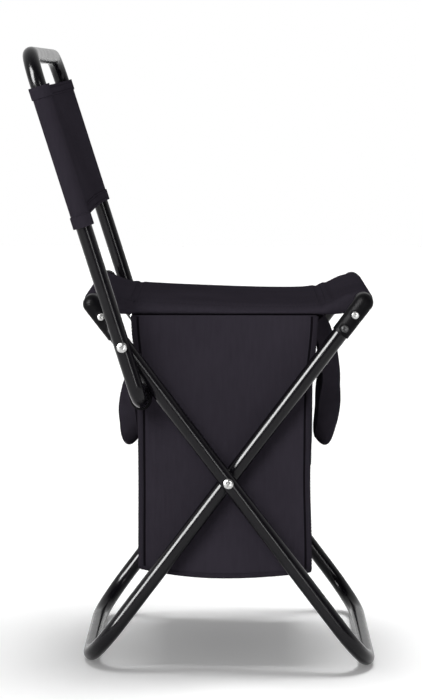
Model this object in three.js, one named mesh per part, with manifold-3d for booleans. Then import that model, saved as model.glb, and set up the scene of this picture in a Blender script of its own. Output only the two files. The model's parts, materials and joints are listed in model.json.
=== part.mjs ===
// Folding cooler chair: crossed tube legs, a folding backrest and an insulated bag under a sling seat.
// Millimetres, +Z up, +X to the front, +Y to the sitter's left. The floor is at Z = 0.

import * as THREE from 'three';
import { mergeVertices } from 'three/addons/utils/BufferGeometryUtils.js';
import Module from 'manifold-3d';

const wasm = await Module();
wasm.setup();

// Gaps
const clearance = 0.3;
const looseGap = 0.8;

// Tubes
const tubeDiameter = 16;
const tubeWall = 1.2;
const tubeSides = 16;
const bendSteps = 7;

// Crossed legs
const footHalfSpan = 141.5;
const seatBarHalfSpan = 134.5;
const seatBarHeight = 374;
const innerLegOffset = 132;
const legBendRadius = 52;
const crossSpacerThickness = 1.9;

// Corner elbows and their rivets
const elbowWall = 1.8;
const elbowLegReach = 39;
const elbowBarReach = 16;
const elbowCoreReach = 11;
const upperRivetStation = 15;
const lowerRivetStation = 32;
const rivetHeadDiameter = 7.4;
const rivetHeadHeight = 1.2;
const rivetDomeDiameter = 5.6;
const rivetCrownDiameter = 2.6;
const rivetDomeDrop = 0.35;
const rivetShankDiameter = 4;
const rivetShankLength = 6;

// Pivot bolts
const boltDiameter = 6;
const boltHeadDiameter = 10.4;
const boltHeadHeight = 3;
const boltHeadRim = 1.2;
const boltShoulderDiameter = 8.4;
const boltShoulderDrop = 0.6;
const boltCrownDiameter = 4.2;
const boltTail = 0.4;
const nutWidth = 10;
const nutThickness = 4;
const spacerDiameter = 14;
const turnedSides = 20;

// Backrest
const pivotDrop = 50.3;
const backrestLean = THREE.MathUtils.degToRad(17.5);
const backrestReach = 298.5;
const backrestBendRadius = 31;
const stubBendRadius = 18;
const stubReach = 38;
const stopCapWall = 2.3;
const stopCapEnd = 2;
const panelTopGap = 30.5;
const panelLength = 141;
const hemLength = 12;
const hemProud = 1.2;
const panelFabric = 1.5;
const panelMiddle = 3;
const panelSag = 5;
const panelSteps = 8;

// Seat
const sleeveFabric = 1.8;
const seatDrop = 6.5;
const seatSag = 1.5;
const padThickness = 8;
const padFlatHalfLength = 92;
const rampCrest = 113;
const rampLift = 5.5;

// Bag
const bagShift = -3.5;
const bagTopHalfDepth = 88.5;
const bagBottomHalfDepth = 87;
const bagFloorHeight = 92.5;
const bagSideGap = 1;
const shellWall = 1.5;
const boardThickness = 2.5;
const insulationWall = 5;
const linerWall = 0.8;

// Handles
const webbingWidth = 25;
const webbingThickness = 2;
const handleHalfSpan = 46;
const handleDrop = 124;
const handleCrown = 9;
const handleTopDrop = 15;
const handleSteps = 40;
const handleStrips = 4;
const handleTwist = { from: 0.1, to: 0.4 };
const handleCrease = { from: 0.25, to: 0.5 };

// Half of a handle's centre line, as shares of its bulge, half span and drop
const handleLine = [
  { out: 0, across: 1, down: 0 },
  { out: 0.25, across: 1, down: 0.08 },
  { out: 0.85, across: 1, down: 0.26 },
  { out: 1, across: 1, down: 0.5 },
  { out: 1, across: 0.93, down: 0.75 },
  { out: 0.9, across: 0.62, down: 0.94 },
];
const handleLowest = { out: 0.9, across: 0, down: 1 };

// How far each handle stands off the bag, and how far the outer edge of its bottom is lifted
const frontHandleHang = { bulge: 16, lean: 0 };
const rearHandleHang = { bulge: 11, lean: Math.PI / 4 };

// Front flap of the bag
const flapSill = 112;
const flapTopGap = 12;
const flapHalfWidth = 88;
const flapThickness = 1.5;
const flapOverlap = 4;
const flapCorner = 12;
const cornerSteps = 4;

// Zip round three sides of the flap
const tapeWidth = 11;
const tapeThickness = 1.2;
const chainWidth = 5;
const chainProud = 1.2;
const sliderWidth = 10;
const sliderLength = 10;
const sliderWall = 1.2;
const sliderRest = 3;
const bridgeGap = 2.2;
const bridgeThickness = 1;
const bridgeWidth = 2.4;
const pullThickness = 1.2;
const pullWidth = 8;
const pullLength = 22;
const pullRingHole = 7;

// Derived sizes
const tubeRadius = tubeDiameter / 2;
const tubeCorner = tubeRadius / Math.cos(Math.PI / tubeSides);
const tubeBore = tubeCorner + clearance;
const elbowRadius = tubeBore + elbowWall;
const outerLegOffset = innerLegOffset + 2 * tubeCorner + crossSpacerThickness + 2 * clearance;
const armOffset = outerLegOffset + elbowRadius + rivetHeadHeight + 2 * clearance + tubeCorner;
const backrestSpacerThickness = armOffset - outerLegOffset - 2 * tubeCorner - 2 * clearance;
const legTilt = Math.atan2(footHalfSpan + seatBarHalfSpan, seatBarHeight - tubeRadius);
const crossHeight = tubeRadius + footHalfSpan / Math.tan(legTilt);
const legBelow = footHalfSpan / Math.sin(legTilt);
const legAbove = seatBarHalfSpan / Math.sin(legTilt);
const seatHalfWidth = innerLegOffset - elbowBarReach - looseGap;
const sleeveRadius = tubeBore + sleeveFabric;
const seatTop = seatBarHeight - seatDrop;
const padBottom = seatTop - padThickness;
const bagTop = padBottom - clearance;
const bagHalfWidth = seatHalfWidth - bagSideGap;
const rivetStations = [upperRivetStation, lowerRivetStation];
const stopCapRadius = tubeBore + stopCapWall;
const stubDrop = (tubeCorner + clearance + stopCapRadius) / Math.sin(legTilt - backrestLean);
const panelEnd = backrestReach - panelTopGap;
const panelStart = panelEnd - panelLength;

// Colours and finishes
const finishes = {
  paint: { color: 0x17171a, roughness: 0.3, metalness: 0.4 },
  plastic: { color: 0x1c1c1f, roughness: 0.6, metalness: 0 },
  steel: { color: 0xc4c4c6, roughness: 0.25, metalness: 1 },
  fabric: { color: 0x2b2930, roughness: 0.95, metalness: 0 },
  webbing: { color: 0x242329, roughness: 0.95, metalness: 0 },
  foam: { color: 0xd8d8d8, roughness: 1, metalness: 0 },
  foil: { color: 0xc9cacc, roughness: 0.35, metalness: 0.6 },
  board: { color: 0x55524f, roughness: 0.9, metalness: 0 },
};

// A path of straight runs joined by round bends, with stations only where the tube turns.
class BentPath extends THREE.Curve {
  constructor(corners, radii) {
    super();
    this.stations = [];
    const last = corners.length - 1;
    const firstRun = corners[1].clone().sub(corners[0]).normalize();
    this.stations.push({ point: corners[0], tangent: firstRun });
    for (let i = 1; i < last; i += 1) {
      this.addBend(corners[i - 1], corners[i], corners[i + 1], radii[i - 1]);
    }
    const lastRun = corners[last].clone().sub(corners[last - 1]).normalize();
    this.stations.push({ point: corners[last], tangent: lastRun });
  }

  addBend(before, corner, after, radius) {
    const into = corner.clone().sub(before).normalize();
    const out = after.clone().sub(corner).normalize();
    const turn = into.angleTo(out);
    const setback = radius * Math.tan(turn / 2);
    const start = corner.clone().addScaledVector(into, -setback);
    const inward = out.clone().addScaledVector(into, -out.dot(into)).normalize();
    for (let step = 0; step <= bendSteps; step += 1) {
      const angle = (turn * step) / bendSteps;
      const point = start.clone()
        .addScaledVector(into, radius * Math.sin(angle))
        .addScaledVector(inward, radius * (1 - Math.cos(angle)));
      const tangent = into.clone().multiplyScalar(Math.cos(angle)).addScaledVector(inward, Math.sin(angle));
      this.stations.push({ point, tangent });
    }
  }

  get steps() {
    return this.stations.length - 1;
  }

  station(t) {
    return this.stations[Math.round(t * this.steps)];
  }

  getPoint(t) {
    return this.station(t).point.clone();
  }

  getPointAt(t) {
    return this.getPoint(t);
  }

  getTangent(t) {
    return this.station(t).tangent.clone();
  }

  getTangentAt(t) {
    return this.getTangent(t);
  }
}

// Closed meshes and the joins and cuts made on them
function solidOf(geometry) {
  const bare = geometry.clone();
  bare.deleteAttribute('normal');
  bare.deleteAttribute('uv');
  const merged = mergeVertices(bare, 1e-4);
  const triangles = [];
  for (let i = 0; i < merged.index.count; i += 3) {
    const [a, b, c] = [0, 1, 2].map((k) => merged.index.getX(i + k));
    if (a !== b && b !== c && c !== a) {
      triangles.push(a, b, c);
    }
  }
  return new wasm.Manifold(new wasm.Mesh({
    numProp: 3,
    vertProperties: Float32Array.from(merged.attributes.position.array),
    triVerts: Uint32Array.from(triangles),
  }));
}

function geometryOf(solid) {
  const mesh = solid.getMesh();
  const geometry = new THREE.BufferGeometry();
  geometry.setAttribute('position', new THREE.BufferAttribute(Float32Array.from(mesh.vertProperties), 3));
  geometry.setIndex(new THREE.BufferAttribute(Uint32Array.from(mesh.triVerts), 1));
  geometry.computeVertexNormals();
  return geometry;
}

function joined(first, ...others) {
  return geometryOf(others.reduce((solid, other) => solid.add(solidOf(other)), solidOf(first)));
}

function cut(body, ...tools) {
  return geometryOf(tools.reduce((solid, tool) => solid.subtract(solidOf(tool)), solidOf(body)));
}

// Basic shapes
function polygon(radius, sides, turn = 0) {
  const points = [];
  for (let i = 0; i < sides; i += 1) {
    const angle = turn + (2 * Math.PI * i) / sides;
    points.push(new THREE.Vector2(radius * Math.cos(angle), radius * Math.sin(angle)));
  }
  return points;
}

function tube(path, turn = 0) {
  const section = new THREE.Shape(polygon(tubeCorner, tubeSides, turn));
  section.holes.push(new THREE.Path(polygon(tubeRadius - tubeWall, tubeSides / 2, turn)));
  return new THREE.ExtrudeGeometry(section, { steps: path.steps, extrudePath: path, bevelEnabled: false });
}

function rodAlongY(radius, from, to, sides = turnedSides) {
  const rod = new THREE.CylinderGeometry(radius, radius, to - from, sides);
  return rod.translate(0, (from + to) / 2, 0);
}

function ringAlongY(outerRadius, innerRadius, from, to) {
  const profile = [
    [innerRadius, from],
    [outerRadius, from],
    [outerRadius, to],
    [innerRadius, to],
    [innerRadius, from],
  ];
  return new THREE.LatheGeometry(profile.map(([r, y]) => new THREE.Vector2(r, y)), turnedSides);
}

function prismAlongY(points, from, to) {
  const outline = new THREE.Shape(points.map(([x, z]) => new THREE.Vector2(x, z)));
  const prism = new THREE.ExtrudeGeometry(outline, { depth: to - from, bevelEnabled: false });
  return prism.rotateX(Math.PI / 2).translate(0, to, 0);
}

function prismAlongZ(points, from, to) {
  const outline = new THREE.Shape(points.map(([x, y]) => new THREE.Vector2(x, y)));
  const prism = new THREE.ExtrudeGeometry(outline, { depth: to - from, bevelEnabled: false });
  return prism.translate(0, 0, from);
}

function prismAlongX(points, from, to) {
  return prismAlongZ(points, from, to).rotateX(Math.PI / 2).rotateZ(Math.PI / 2);
}

function block(from, to) {
  const size = to.map((high, i) => high - from[i]);
  const middle = to.map((high, i) => (high + from[i]) / 2);
  return new THREE.BoxGeometry(...size).translate(...middle);
}

function boreRadius(radius, sides = turnedSides) {
  return radius / Math.cos(Math.PI / sides);
}

const chair = new THREE.Group();

function add(group, name, finish, geometry) {
  const mesh = new THREE.Mesh(geometry, new THREE.MeshStandardMaterial(finishes[finish]));
  mesh.name = name;
  group.add(mesh);
  return mesh;
}

const sides = [
  { word: 'right', sign: -1 },
  { word: 'left', sign: 1 },
];

// Each leg frame stands in its own group: origin where the legs cross, +Z up along the legs.
function legGroup(tilt) {
  const group = new THREE.Group();
  group.position.set(0, 0, crossHeight);
  group.rotation.y = tilt;
  chair.add(group);
  return group;
}

function mirroredAcrossY(geometry, sign) {
  return sign > 0 ? geometry : geometry.rotateZ(Math.PI);
}

function boltHole(y, z) {
  const hole = rodAlongY(boreRadius(boltDiameter / 2 + clearance), y - tubeDiameter, y + tubeDiameter);
  return hole.translate(0, 0, z);
}

function rivetHole(sign, offset, station) {
  const hole = rodAlongY(boreRadius(rivetShankDiameter / 2 + clearance), offset, offset + 2 * elbowRadius);
  return mirroredAcrossY(hole, sign).translate(0, 0, legAbove - station);
}

function legFrame(offset, tilt, pivotHeights) {
  const top = legAbove - elbowCoreReach;
  const path = new BentPath([
    new THREE.Vector3(0, -offset, top),
    new THREE.Vector3(0, -offset, -legBelow),
    new THREE.Vector3(0, offset, -legBelow),
    new THREE.Vector3(0, offset, top),
  ], [legBendRadius, legBendRadius]);
  const frames = path.computeFrenetFrames(path.steps);
  const middle = Math.floor(path.steps / 2);
  const down = new THREE.Vector3(0, 0, -1).applyAxisAngle(new THREE.Vector3(0, 1, 0), -tilt);
  const downAngle = Math.atan2(down.dot(frames.binormals[middle]), down.dot(frames.normals[middle]));
  const holes = [];
  for (const { sign } of sides) {
    for (const height of pivotHeights) {
      holes.push(boltHole(sign * offset, height));
    }
    for (const station of rivetStations) {
      holes.push(rivetHole(sign, offset, station));
    }
  }
  return cut(tube(path, downAngle + Math.PI / tubeSides), ...holes);
}

function seatBar(offset) {
  const end = offset - elbowCoreReach;
  const ends = [new THREE.Vector3(0, -end, legAbove), new THREE.Vector3(0, end, legAbove)];
  return tube(new BentPath(ends, []));
}

function elbow(sign, offset) {
  const legSocket = new THREE.CylinderGeometry(elbowRadius, elbowRadius, elbowLegReach, turnedSides);
  legSocket.rotateX(Math.PI / 2).translate(0, 0, -elbowLegReach / 2);
  const barSocket = rodAlongY(elbowRadius, -elbowBarReach, 0);
  const knuckle = new THREE.SphereGeometry(elbowRadius, turnedSides, turnedSides / 2);
  const bore = boreRadius(tubeBore);
  const legBore = new THREE.CylinderGeometry(bore, bore, elbowLegReach, turnedSides);
  legBore.rotateX(Math.PI / 2).translate(0, 0, clearance - elbowCoreReach - elbowLegReach / 2);
  const barBore = rodAlongY(bore, -2 * elbowBarReach, clearance - elbowCoreReach);
  const body = joined(legSocket, barSocket, knuckle);
  const holes = rivetStations.map((station) => {
    const hole = rodAlongY(boreRadius(rivetShankDiameter / 2 + clearance), 0, 2 * elbowRadius);
    return hole.translate(0, 0, -station);
  });
  const shape = cut(body, legBore, barBore, ...holes);
  return mirroredAcrossY(shape, sign).translate(0, sign * offset, legAbove);
}

function rivet(sign, offset, station) {
  const headRadius = rivetHeadDiameter / 2;
  const shankRadius = rivetShankDiameter / 2;
  const seat = elbowRadius + clearance / 2;
  const top = seat + rivetHeadHeight;
  const profile = [
    [0, seat - rivetShankLength],
    [shankRadius, seat - rivetShankLength],
    [shankRadius, seat],
    [headRadius, seat],
    [rivetDomeDiameter / 2, top - rivetDomeDrop],
    [rivetCrownDiameter / 2, top],
    [0, top],
  ];
  const shape = new THREE.LatheGeometry(profile.map(([r, y]) => new THREE.Vector2(r, y)), turnedSides / 2);
  return mirroredAcrossY(shape, sign).translate(0, sign * offset, legAbove - station);
}

function buildLegFrame(words, offset, tilt, pivotHeights) {
  const group = legGroup(tilt);
  add(group, `${words.frame}_leg_frame`, 'paint', legFrame(offset, tilt, pivotHeights));
  add(group, `${words.bar}_seat_bar`, 'paint', seatBar(offset));
  for (const { word, sign } of sides) {
    add(group, `${words.bar}_elbow_${word}`, 'plastic', elbow(sign, offset));
    rivetStations.forEach((station, i) => {
      const place = ['upper', 'lower'][i];
      add(group, `${words.bar}_rivet_${place}_${word}`, 'steel', rivet(sign, offset, station));
    });
  }
  const sleeve = ringAlongY(sleeveRadius, boreRadius(tubeBore), -seatHalfWidth, seatHalfWidth);
  add(group, `${words.bar}_seat_sleeve`, 'fabric', sleeve.translate(0, 0, legAbove));
  return group;
}

// A pivot bolt lies along Y from its head outside to its nut inside.
function bolt(headFace, nutFace) {
  const radius = boltDiameter / 2;
  const headRadius = boltHeadDiameter / 2;
  const top = headFace + boltHeadHeight;
  const tail = nutFace - nutThickness - boltTail;
  const profile = [
    [0, tail],
    [radius, tail],
    [radius, headFace],
    [headRadius, headFace],
    [headRadius, headFace + boltHeadRim],
    [boltShoulderDiameter / 2, top - boltShoulderDrop],
    [boltCrownDiameter / 2, top],
    [0, top],
  ];
  return new THREE.LatheGeometry(profile.map(([r, y]) => new THREE.Vector2(r, y)), turnedSides);
}

function nut(nutFace) {
  const outline = new THREE.Shape(polygon(nutWidth / 2 / Math.cos(Math.PI / 6), 6));
  outline.holes.push(new THREE.Path(polygon(boreRadius(boltDiameter / 2 + clearance), turnedSides)));
  const shape = new THREE.ExtrudeGeometry(outline, { depth: nutThickness, bevelEnabled: false });
  return shape.rotateX(Math.PI / 2).translate(0, nutFace, 0);
}

function addPivot(group, name, place, inner, outer, spacerThickness) {
  const nutFace = inner - tubeCorner - clearance;
  const headFace = outer + tubeCorner + clearance;
  const spacerFrom = inner + tubeCorner + clearance;
  const spacerBore = boreRadius(boltDiameter / 2 + clearance);
  for (const { word, sign } of sides) {
    const spacer = ringAlongY(spacerDiameter / 2, spacerBore, spacerFrom, spacerFrom + spacerThickness);
    const pieces = [
      ['bolt', 'steel', bolt(headFace, nutFace)],
      ['nut', 'steel', nut(nutFace)],
      ['spacer', 'plastic', spacer],
    ];
    for (const [piece, finish, shape] of pieces) {
      add(group, `${name}_${piece}_${word}`, finish, mirroredAcrossY(shape, sign).translate(0, 0, place));
    }
  }
}

const backrestPivot = legAbove - pivotDrop;
const outerWords = { frame: 'outer', bar: 'rear' };
const innerWords = { frame: 'inner', bar: 'front' };
const outerGroup = buildLegFrame(outerWords, outerLegOffset, -legTilt, [0, backrestPivot]);
buildLegFrame(innerWords, innerLegOffset, legTilt, [0]);
addPivot(outerGroup, 'cross', 0, innerLegOffset, outerLegOffset, crossSpacerThickness);
addPivot(outerGroup, 'backrest', backrestPivot, outerLegOffset, armOffset, backrestSpacerThickness);

// Backrest group: origin on the pivot axis, +Z up along the arms, +X to the front.
const backrest = new THREE.Group();
backrest.position.set(0, 0, backrestPivot);
backrest.rotation.y = legTilt - backrestLean;
outerGroup.add(backrest);

function backrestFrame() {
  const stubEnd = armOffset - stubReach;
  const path = new BentPath([
    new THREE.Vector3(0, -stubEnd, -stubDrop),
    new THREE.Vector3(0, -armOffset, -stubDrop),
    new THREE.Vector3(0, -armOffset, backrestReach),
    new THREE.Vector3(0, armOffset, backrestReach),
    new THREE.Vector3(0, armOffset, -stubDrop),
    new THREE.Vector3(0, stubEnd, -stubDrop),
  ], [stubBendRadius, backrestBendRadius, backrestBendRadius, stubBendRadius]);
  return cut(tube(path), boltHole(-armOffset, 0), boltHole(armOffset, 0));
}

// The caps on the stubs stop the backrest against the rear of the outer legs.
function stopCap() {
  const inner = armOffset - stubReach - clearance - stopCapEnd;
  const outer = armOffset - stubBendRadius;
  const body = rodAlongY(stopCapRadius, inner, outer);
  const bore = rodAlongY(boreRadius(tubeBore), inner + stopCapEnd, outer + stopCapEnd);
  return cut(body, bore).translate(0, 0, -stubDrop);
}

// The panel's section across the arms: a sleeve round each arm, drawn to a thin sagging middle.
function panelBand(proud, from, to) {
  const outer = tubeBore + panelFabric + proud;
  const half = panelMiddle / 2 + proud;
  const shoulder = 3 * outer;
  const flatSpan = armOffset - shoulder;
  const edge = (face) => {
    const points = [];
    for (let i = 0; i <= panelSteps; i += 1) {
      const across = -1 + (2 * i) / panelSteps;
      const sag = panelSag * (1 - across * across);
      points.push(new THREE.Vector2(across * flatSpan, face * half - sag));
    }
    return points;
  };
  const cap = (sign) => {
    const points = [];
    for (let i = 0; i <= panelSteps; i += 1) {
      const angle = -Math.PI / 2 + (Math.PI * i) / panelSteps;
      const across = armOffset + outer * Math.cos(angle);
      points.push(new THREE.Vector2(sign * across, sign * outer * Math.sin(angle)));
    }
    return points;
  };
  const outline = [...edge(-1), ...cap(1), ...edge(1).reverse(), ...cap(-1)];
  const shape = new THREE.Shape(outline);
  for (const { sign } of sides) {
    const arm = new THREE.Vector2(sign * armOffset, 0);
    const hole = polygon(boreRadius(tubeBore), turnedSides).map((point) => point.add(arm));
    shape.holes.push(new THREE.Path(hole));
  }
  const band = new THREE.ExtrudeGeometry(shape, { depth: to - from, bevelEnabled: false });
  return band.rotateZ(-Math.PI / 2).translate(0, 0, from);
}

function backPanel() {
  const lowerHem = panelStart + hemLength;
  const upperHem = panelEnd - hemLength;
  return joined(
    panelBand(0, lowerHem - clearance, upperHem + clearance),
    panelBand(hemProud, panelStart, lowerHem),
    panelBand(hemProud, upperHem, panelEnd),
  );
}

add(backrest, 'backrest_frame', 'paint', backrestFrame());
for (const { word, sign } of sides) {
  add(backrest, `stop_cap_${word}`, 'plastic', mirroredAcrossY(stopCap(), sign));
}
add(backrest, 'back_panel', 'fabric', backPanel());

// Seat pad: flat over the bag, ramped up at both ends to just inside the sweep of the seat sleeves.
function seatPad() {
  const sweep = legAbove - sleeveRadius - looseGap;
  const onSweep = (x) => crossHeight + Math.sqrt(sweep * sweep - x * x);
  const tipHeight = padBottom + rampLift;
  const tip = Math.sqrt(sweep * sweep - (tipHeight - crossHeight) ** 2);
  const ramp = [
    [padFlatHalfLength, seatTop],
    [rampCrest, onSweep(rampCrest)],
    [(rampCrest + tip) / 2, onSweep((rampCrest + tip) / 2)],
    [tip, tipHeight],
    [padFlatHalfLength, padBottom],
  ];
  const rear = ramp.map(([x, z]) => [-x, z]);
  const outline = [...ramp.reverse(), [0, seatTop - seatSag], ...rear];
  return prismAlongY(outline, -seatHalfWidth, seatHalfWidth);
}

add(chair, 'seat_pad', 'fabric', seatPad());

// Bag layers, each a box open at the top and inset from the bag's outer faces.
function bagOutline(inset, floorInset, top) {
  const floor = bagFloorHeight + floorInset;
  const taper = (bagTopHalfDepth - bagBottomHalfDepth) / (bagTop - bagFloorHeight);
  const halfDepth = (z) => bagBottomHalfDepth + taper * (z - bagFloorHeight) - inset;
  return [
    [bagShift - halfDepth(floor), floor],
    [bagShift + halfDepth(floor), floor],
    [bagShift + halfDepth(top), top],
    [bagShift - halfDepth(top), top],
  ];
}

// The flap's place on the front face: x out of the face, z up along it from the flap's hinge.
const faceTilt = Math.atan2(bagTopHalfDepth - bagBottomHalfDepth, bagTop - bagFloorHeight);
const hingeHeight = bagFloorHeight + flapSill;
const hingeFace = bagShift + bagBottomHalfDepth + flapSill * Math.tan(faceTilt);
const flapHeight = bagTop - flapTopGap - hingeHeight;
const doorwayDepth = shellWall + insulationWall + linerWall + 3 * clearance;

function doorway() {
  const half = flapHalfWidth - flapOverlap;
  const from = [-2 * doorwayDepth, -half, flapOverlap];
  const to = [doorwayDepth, half, flapHeight - flapOverlap];
  return block(from, to).rotateY(faceTilt).translate(hingeFace, 0, hingeHeight);
}

function bagLayer(inset, floorInset, wall) {
  const outer = bagHalfWidth - inset;
  const body = prismAlongY(bagOutline(inset, floorInset, bagTop), -outer, outer);
  const inner = outer - wall;
  const hollow = prismAlongY(bagOutline(inset + wall, floorInset + wall, bagTop + wall), -inner, inner);
  return cut(body, hollow, doorway());
}

function baseBoard() {
  const inset = shellWall + 2 * clearance;
  const floor = shellWall + clearance;
  const half = bagHalfWidth - inset;
  return prismAlongY(bagOutline(inset, floor, bagFloorHeight + floor + boardThickness), -half, half);
}

const insulationInset = shellWall + clearance;
const insulationFloor = shellWall + boardThickness + 2 * clearance;
const linerInset = insulationInset + insulationWall + clearance;
const linerFloor = insulationFloor + insulationWall + clearance;
add(chair, 'bag_shell', 'fabric', bagLayer(0, 0, shellWall));
add(chair, 'bag_base_board', 'board', baseBoard());
add(chair, 'bag_insulation', 'foam', bagLayer(insulationInset, insulationFloor, insulationWall));
add(chair, 'bag_liner', 'foil', bagLayer(linerInset, linerFloor, linerWall));

// Handles: webbing loops that leave the bag flat at the top and twist edge-out round the bottom.
function handle({ bulge, lean }) {
  const start = webbingThickness / 2 + clearance;
  const place = ({ out, across, down }, sign) => new THREE.Vector3(
    start + out * bulge,
    sign * across * handleHalfSpan,
    -down * handleDrop,
  );
  const near = handleLine.map((share) => place(share, -1));
  const far = handleLine.map((share) => place(share, 1)).reverse();
  const centre = new THREE.CatmullRomCurve3([...near, place(handleLowest, 0), ...far]);
  const band = new THREE.BoxGeometry(webbingWidth, 1, webbingThickness, handleStrips, handleSteps, 1);
  const position = band.attributes.position;
  const vertex = new THREE.Vector3();
  for (let i = 0; i < position.count; i += 1) {
    vertex.fromBufferAttribute(position, i);
    const along = vertex.y + 0.5;
    const point = centre.getPointAt(along);
    const tangent = centre.getTangentAt(along);
    const nearest = Math.min(along, 1 - along);
    const side = along < 0.5 ? 1 : -1;
    const twist = (Math.PI / 2) * THREE.MathUtils.smoothstep(nearest, handleTwist.from, handleTwist.to);
    const edgeOut = Math.sin(twist);
    const width = new THREE.Vector3(edgeOut * Math.cos(lean), side * Math.cos(twist), edgeOut * Math.sin(lean));
    width.addScaledVector(tangent, -width.dot(tangent)).normalize();
    const normal = width.clone().cross(tangent);
    const across = (2 * vertex.x) / webbingWidth;
    const crease = THREE.MathUtils.smoothstep(nearest, handleCrease.from, handleCrease.to);
    const crown = handleCrown * (1 - across * across) * crease;
    point.addScaledVector(width, vertex.x).addScaledVector(normal, vertex.z - crown);
    position.setXYZ(i, point.x, point.y, point.z);
  }
  return band;
}

const handleTop = bagTop - handleTopDrop;
const rearHandle = add(chair, 'rear_handle', 'webbing', handle(rearHandleHang));
rearHandle.position.set(bagShift - bagTopHalfDepth + handleTopDrop * Math.tan(faceTilt), 0, handleTop);
rearHandle.rotation.z = Math.PI;

const front = new THREE.Group();
front.position.set(hingeFace, 0, hingeHeight);
front.rotation.y = faceTilt;
chair.add(front);

const flapFace = clearance + flapThickness;
const tapeFace = clearance + tapeThickness;
const chainFace = tapeFace + chainProud;
const sliderFace = chainFace + clearance + sliderWall;
const chainMiddle = flapHalfWidth + clearance + tapeWidth / 2;

// An outline that goes up one side of the flap, round its top corners and down the other side.
function arch(half, top, corner) {
  const points = [[half, 0]];
  for (const [sign, turn] of [[1, 0], [-1, Math.PI / 2]]) {
    for (let step = 0; step <= cornerSteps; step += 1) {
      const angle = turn + (Math.PI / 2) * (step / cornerSteps);
      const across = sign * (half - corner) + corner * Math.cos(angle);
      points.push([across, top - corner + corner * Math.sin(angle)]);
    }
  }
  points.push([-half, 0]);
  return points;
}

// A band round the top and both sides of the flap, centred on the zip's run.
function zipBand(width, from, to) {
  const grow = tapeWidth / 2 + width / 2 + clearance;
  const shrink = tapeWidth / 2 - width / 2 + clearance;
  const outer = arch(flapHalfWidth + grow, flapHeight + grow, flapCorner + grow);
  const inner = arch(flapHalfWidth + shrink, flapHeight + shrink, flapCorner + shrink);
  return prismAlongX([...outer, ...inner.reverse()], from, to);
}

function frontFlap() {
  return prismAlongX(arch(flapHalfWidth, flapHeight, flapCorner), clearance, flapFace);
}

function flapInsulation() {
  const half = flapHalfWidth - flapOverlap - looseGap;
  const edge = flapOverlap + looseGap;
  return block([clearance - doorwayDepth, -half, edge], [0, half, flapHeight - edge]);
}

// The slider rides the zip's left run; the pull's ring passes under the slider's bridge.
function zipSlider() {
  const half = sliderWidth / 2;
  const channel = chainWidth / 2 + clearance;
  const roof = chainFace + clearance;
  const foot = tapeFace + clearance;
  const body = prismAlongZ([
    [foot, -half],
    [sliderFace, -half],
    [sliderFace, half],
    [foot, half],
    [foot, channel],
    [roof, channel],
    [roof, -channel],
    [foot, -channel],
  ], -sliderLength / 2, sliderLength / 2);
  const end = sliderLength / 2 - clearance;
  const bridgeTop = sliderFace + bridgeGap + bridgeThickness;
  const bridge = block([roof + clearance, -bridgeWidth / 2, -end], [bridgeTop, bridgeWidth / 2, end]);
  const inside = end - bridgeThickness;
  const eye = block([sliderFace, -bridgeWidth, -inside], [sliderFace + bridgeGap, bridgeWidth, inside]);
  return joined(body, cut(bridge, eye)).translate(0, chainMiddle, sliderPlace);
}

function zipPull() {
  const half = pullThickness / 2;
  const width = pullWidth / 2;
  const plate = block([-half, -width, half - pullLength], [half, width, half]);
  const eye = width - pullThickness;
  const hole = block([-pullThickness, -eye, -half - pullRingHole], [pullThickness, eye, -half]);
  return cut(plate, hole).translate(sliderFace + bridgeGap / 2, chainMiddle, sliderPlace);
}

const sliderPlace = sliderRest + sliderLength / 2;
add(front, 'front_flap', 'fabric', frontFlap());
add(front, 'flap_insulation', 'foam', flapInsulation());
const tape = zipBand(tapeWidth, clearance, tapeFace);
const chain = zipBand(chainWidth, clearance, chainFace);
add(front, 'zip_tape', 'webbing', joined(tape, chain));
add(front, 'zip_slider', 'steel', zipSlider());
add(front, 'zip_pull', 'steel', zipPull());
const handleRoot = (handleTop - hingeHeight) / Math.cos(faceTilt);
add(front, 'front_handle', 'webbing', handle(frontHandleHang)).position.set(flapFace, 0, handleRoot);

// The origin lies on the floor under the middle of the whole chair.
chair.position.x = -new THREE.Box3().setFromObject(chair, true).getCenter(new THREE.Vector3()).x;

export default chair;
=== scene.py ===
import json
import math

import bmesh
import bpy
from mathutils import Matrix, Vector
from mathutils.bvhtree import BVHTree


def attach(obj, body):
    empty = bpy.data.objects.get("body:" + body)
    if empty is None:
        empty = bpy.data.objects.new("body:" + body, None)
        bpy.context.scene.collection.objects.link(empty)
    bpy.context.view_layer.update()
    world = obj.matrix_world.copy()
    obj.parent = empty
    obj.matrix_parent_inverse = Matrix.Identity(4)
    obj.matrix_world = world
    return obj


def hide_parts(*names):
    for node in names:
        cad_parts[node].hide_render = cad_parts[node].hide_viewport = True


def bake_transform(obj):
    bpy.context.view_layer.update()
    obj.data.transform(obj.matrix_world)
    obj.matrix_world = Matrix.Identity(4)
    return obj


# Folding cooler chair: lengths below are in millimetres, the finished meshes in metres
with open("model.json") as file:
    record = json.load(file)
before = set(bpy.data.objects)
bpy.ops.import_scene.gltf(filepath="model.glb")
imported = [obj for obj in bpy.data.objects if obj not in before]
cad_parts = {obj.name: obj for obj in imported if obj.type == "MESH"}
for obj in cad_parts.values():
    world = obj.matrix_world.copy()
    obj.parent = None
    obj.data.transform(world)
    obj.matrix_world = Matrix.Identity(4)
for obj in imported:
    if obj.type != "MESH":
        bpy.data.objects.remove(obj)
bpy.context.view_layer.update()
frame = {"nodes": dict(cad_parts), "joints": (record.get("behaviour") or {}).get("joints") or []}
scene = bpy.context.scene
mm = 0.001
jointAt = {j["name"]: Vector(j["pos_m"]) / mm for j in frame["joints"] if "pos_m" in j}
crossing = jointAt["leg_fold"]
sides = {"right": -1, "left": 1}
print("frame loaded:", len(frame["nodes"]), "nodes")


def addObject(name, data):
    made = bpy.data.objects.new(name, data)
    scene.collection.objects.link(made)
    return made



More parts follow.
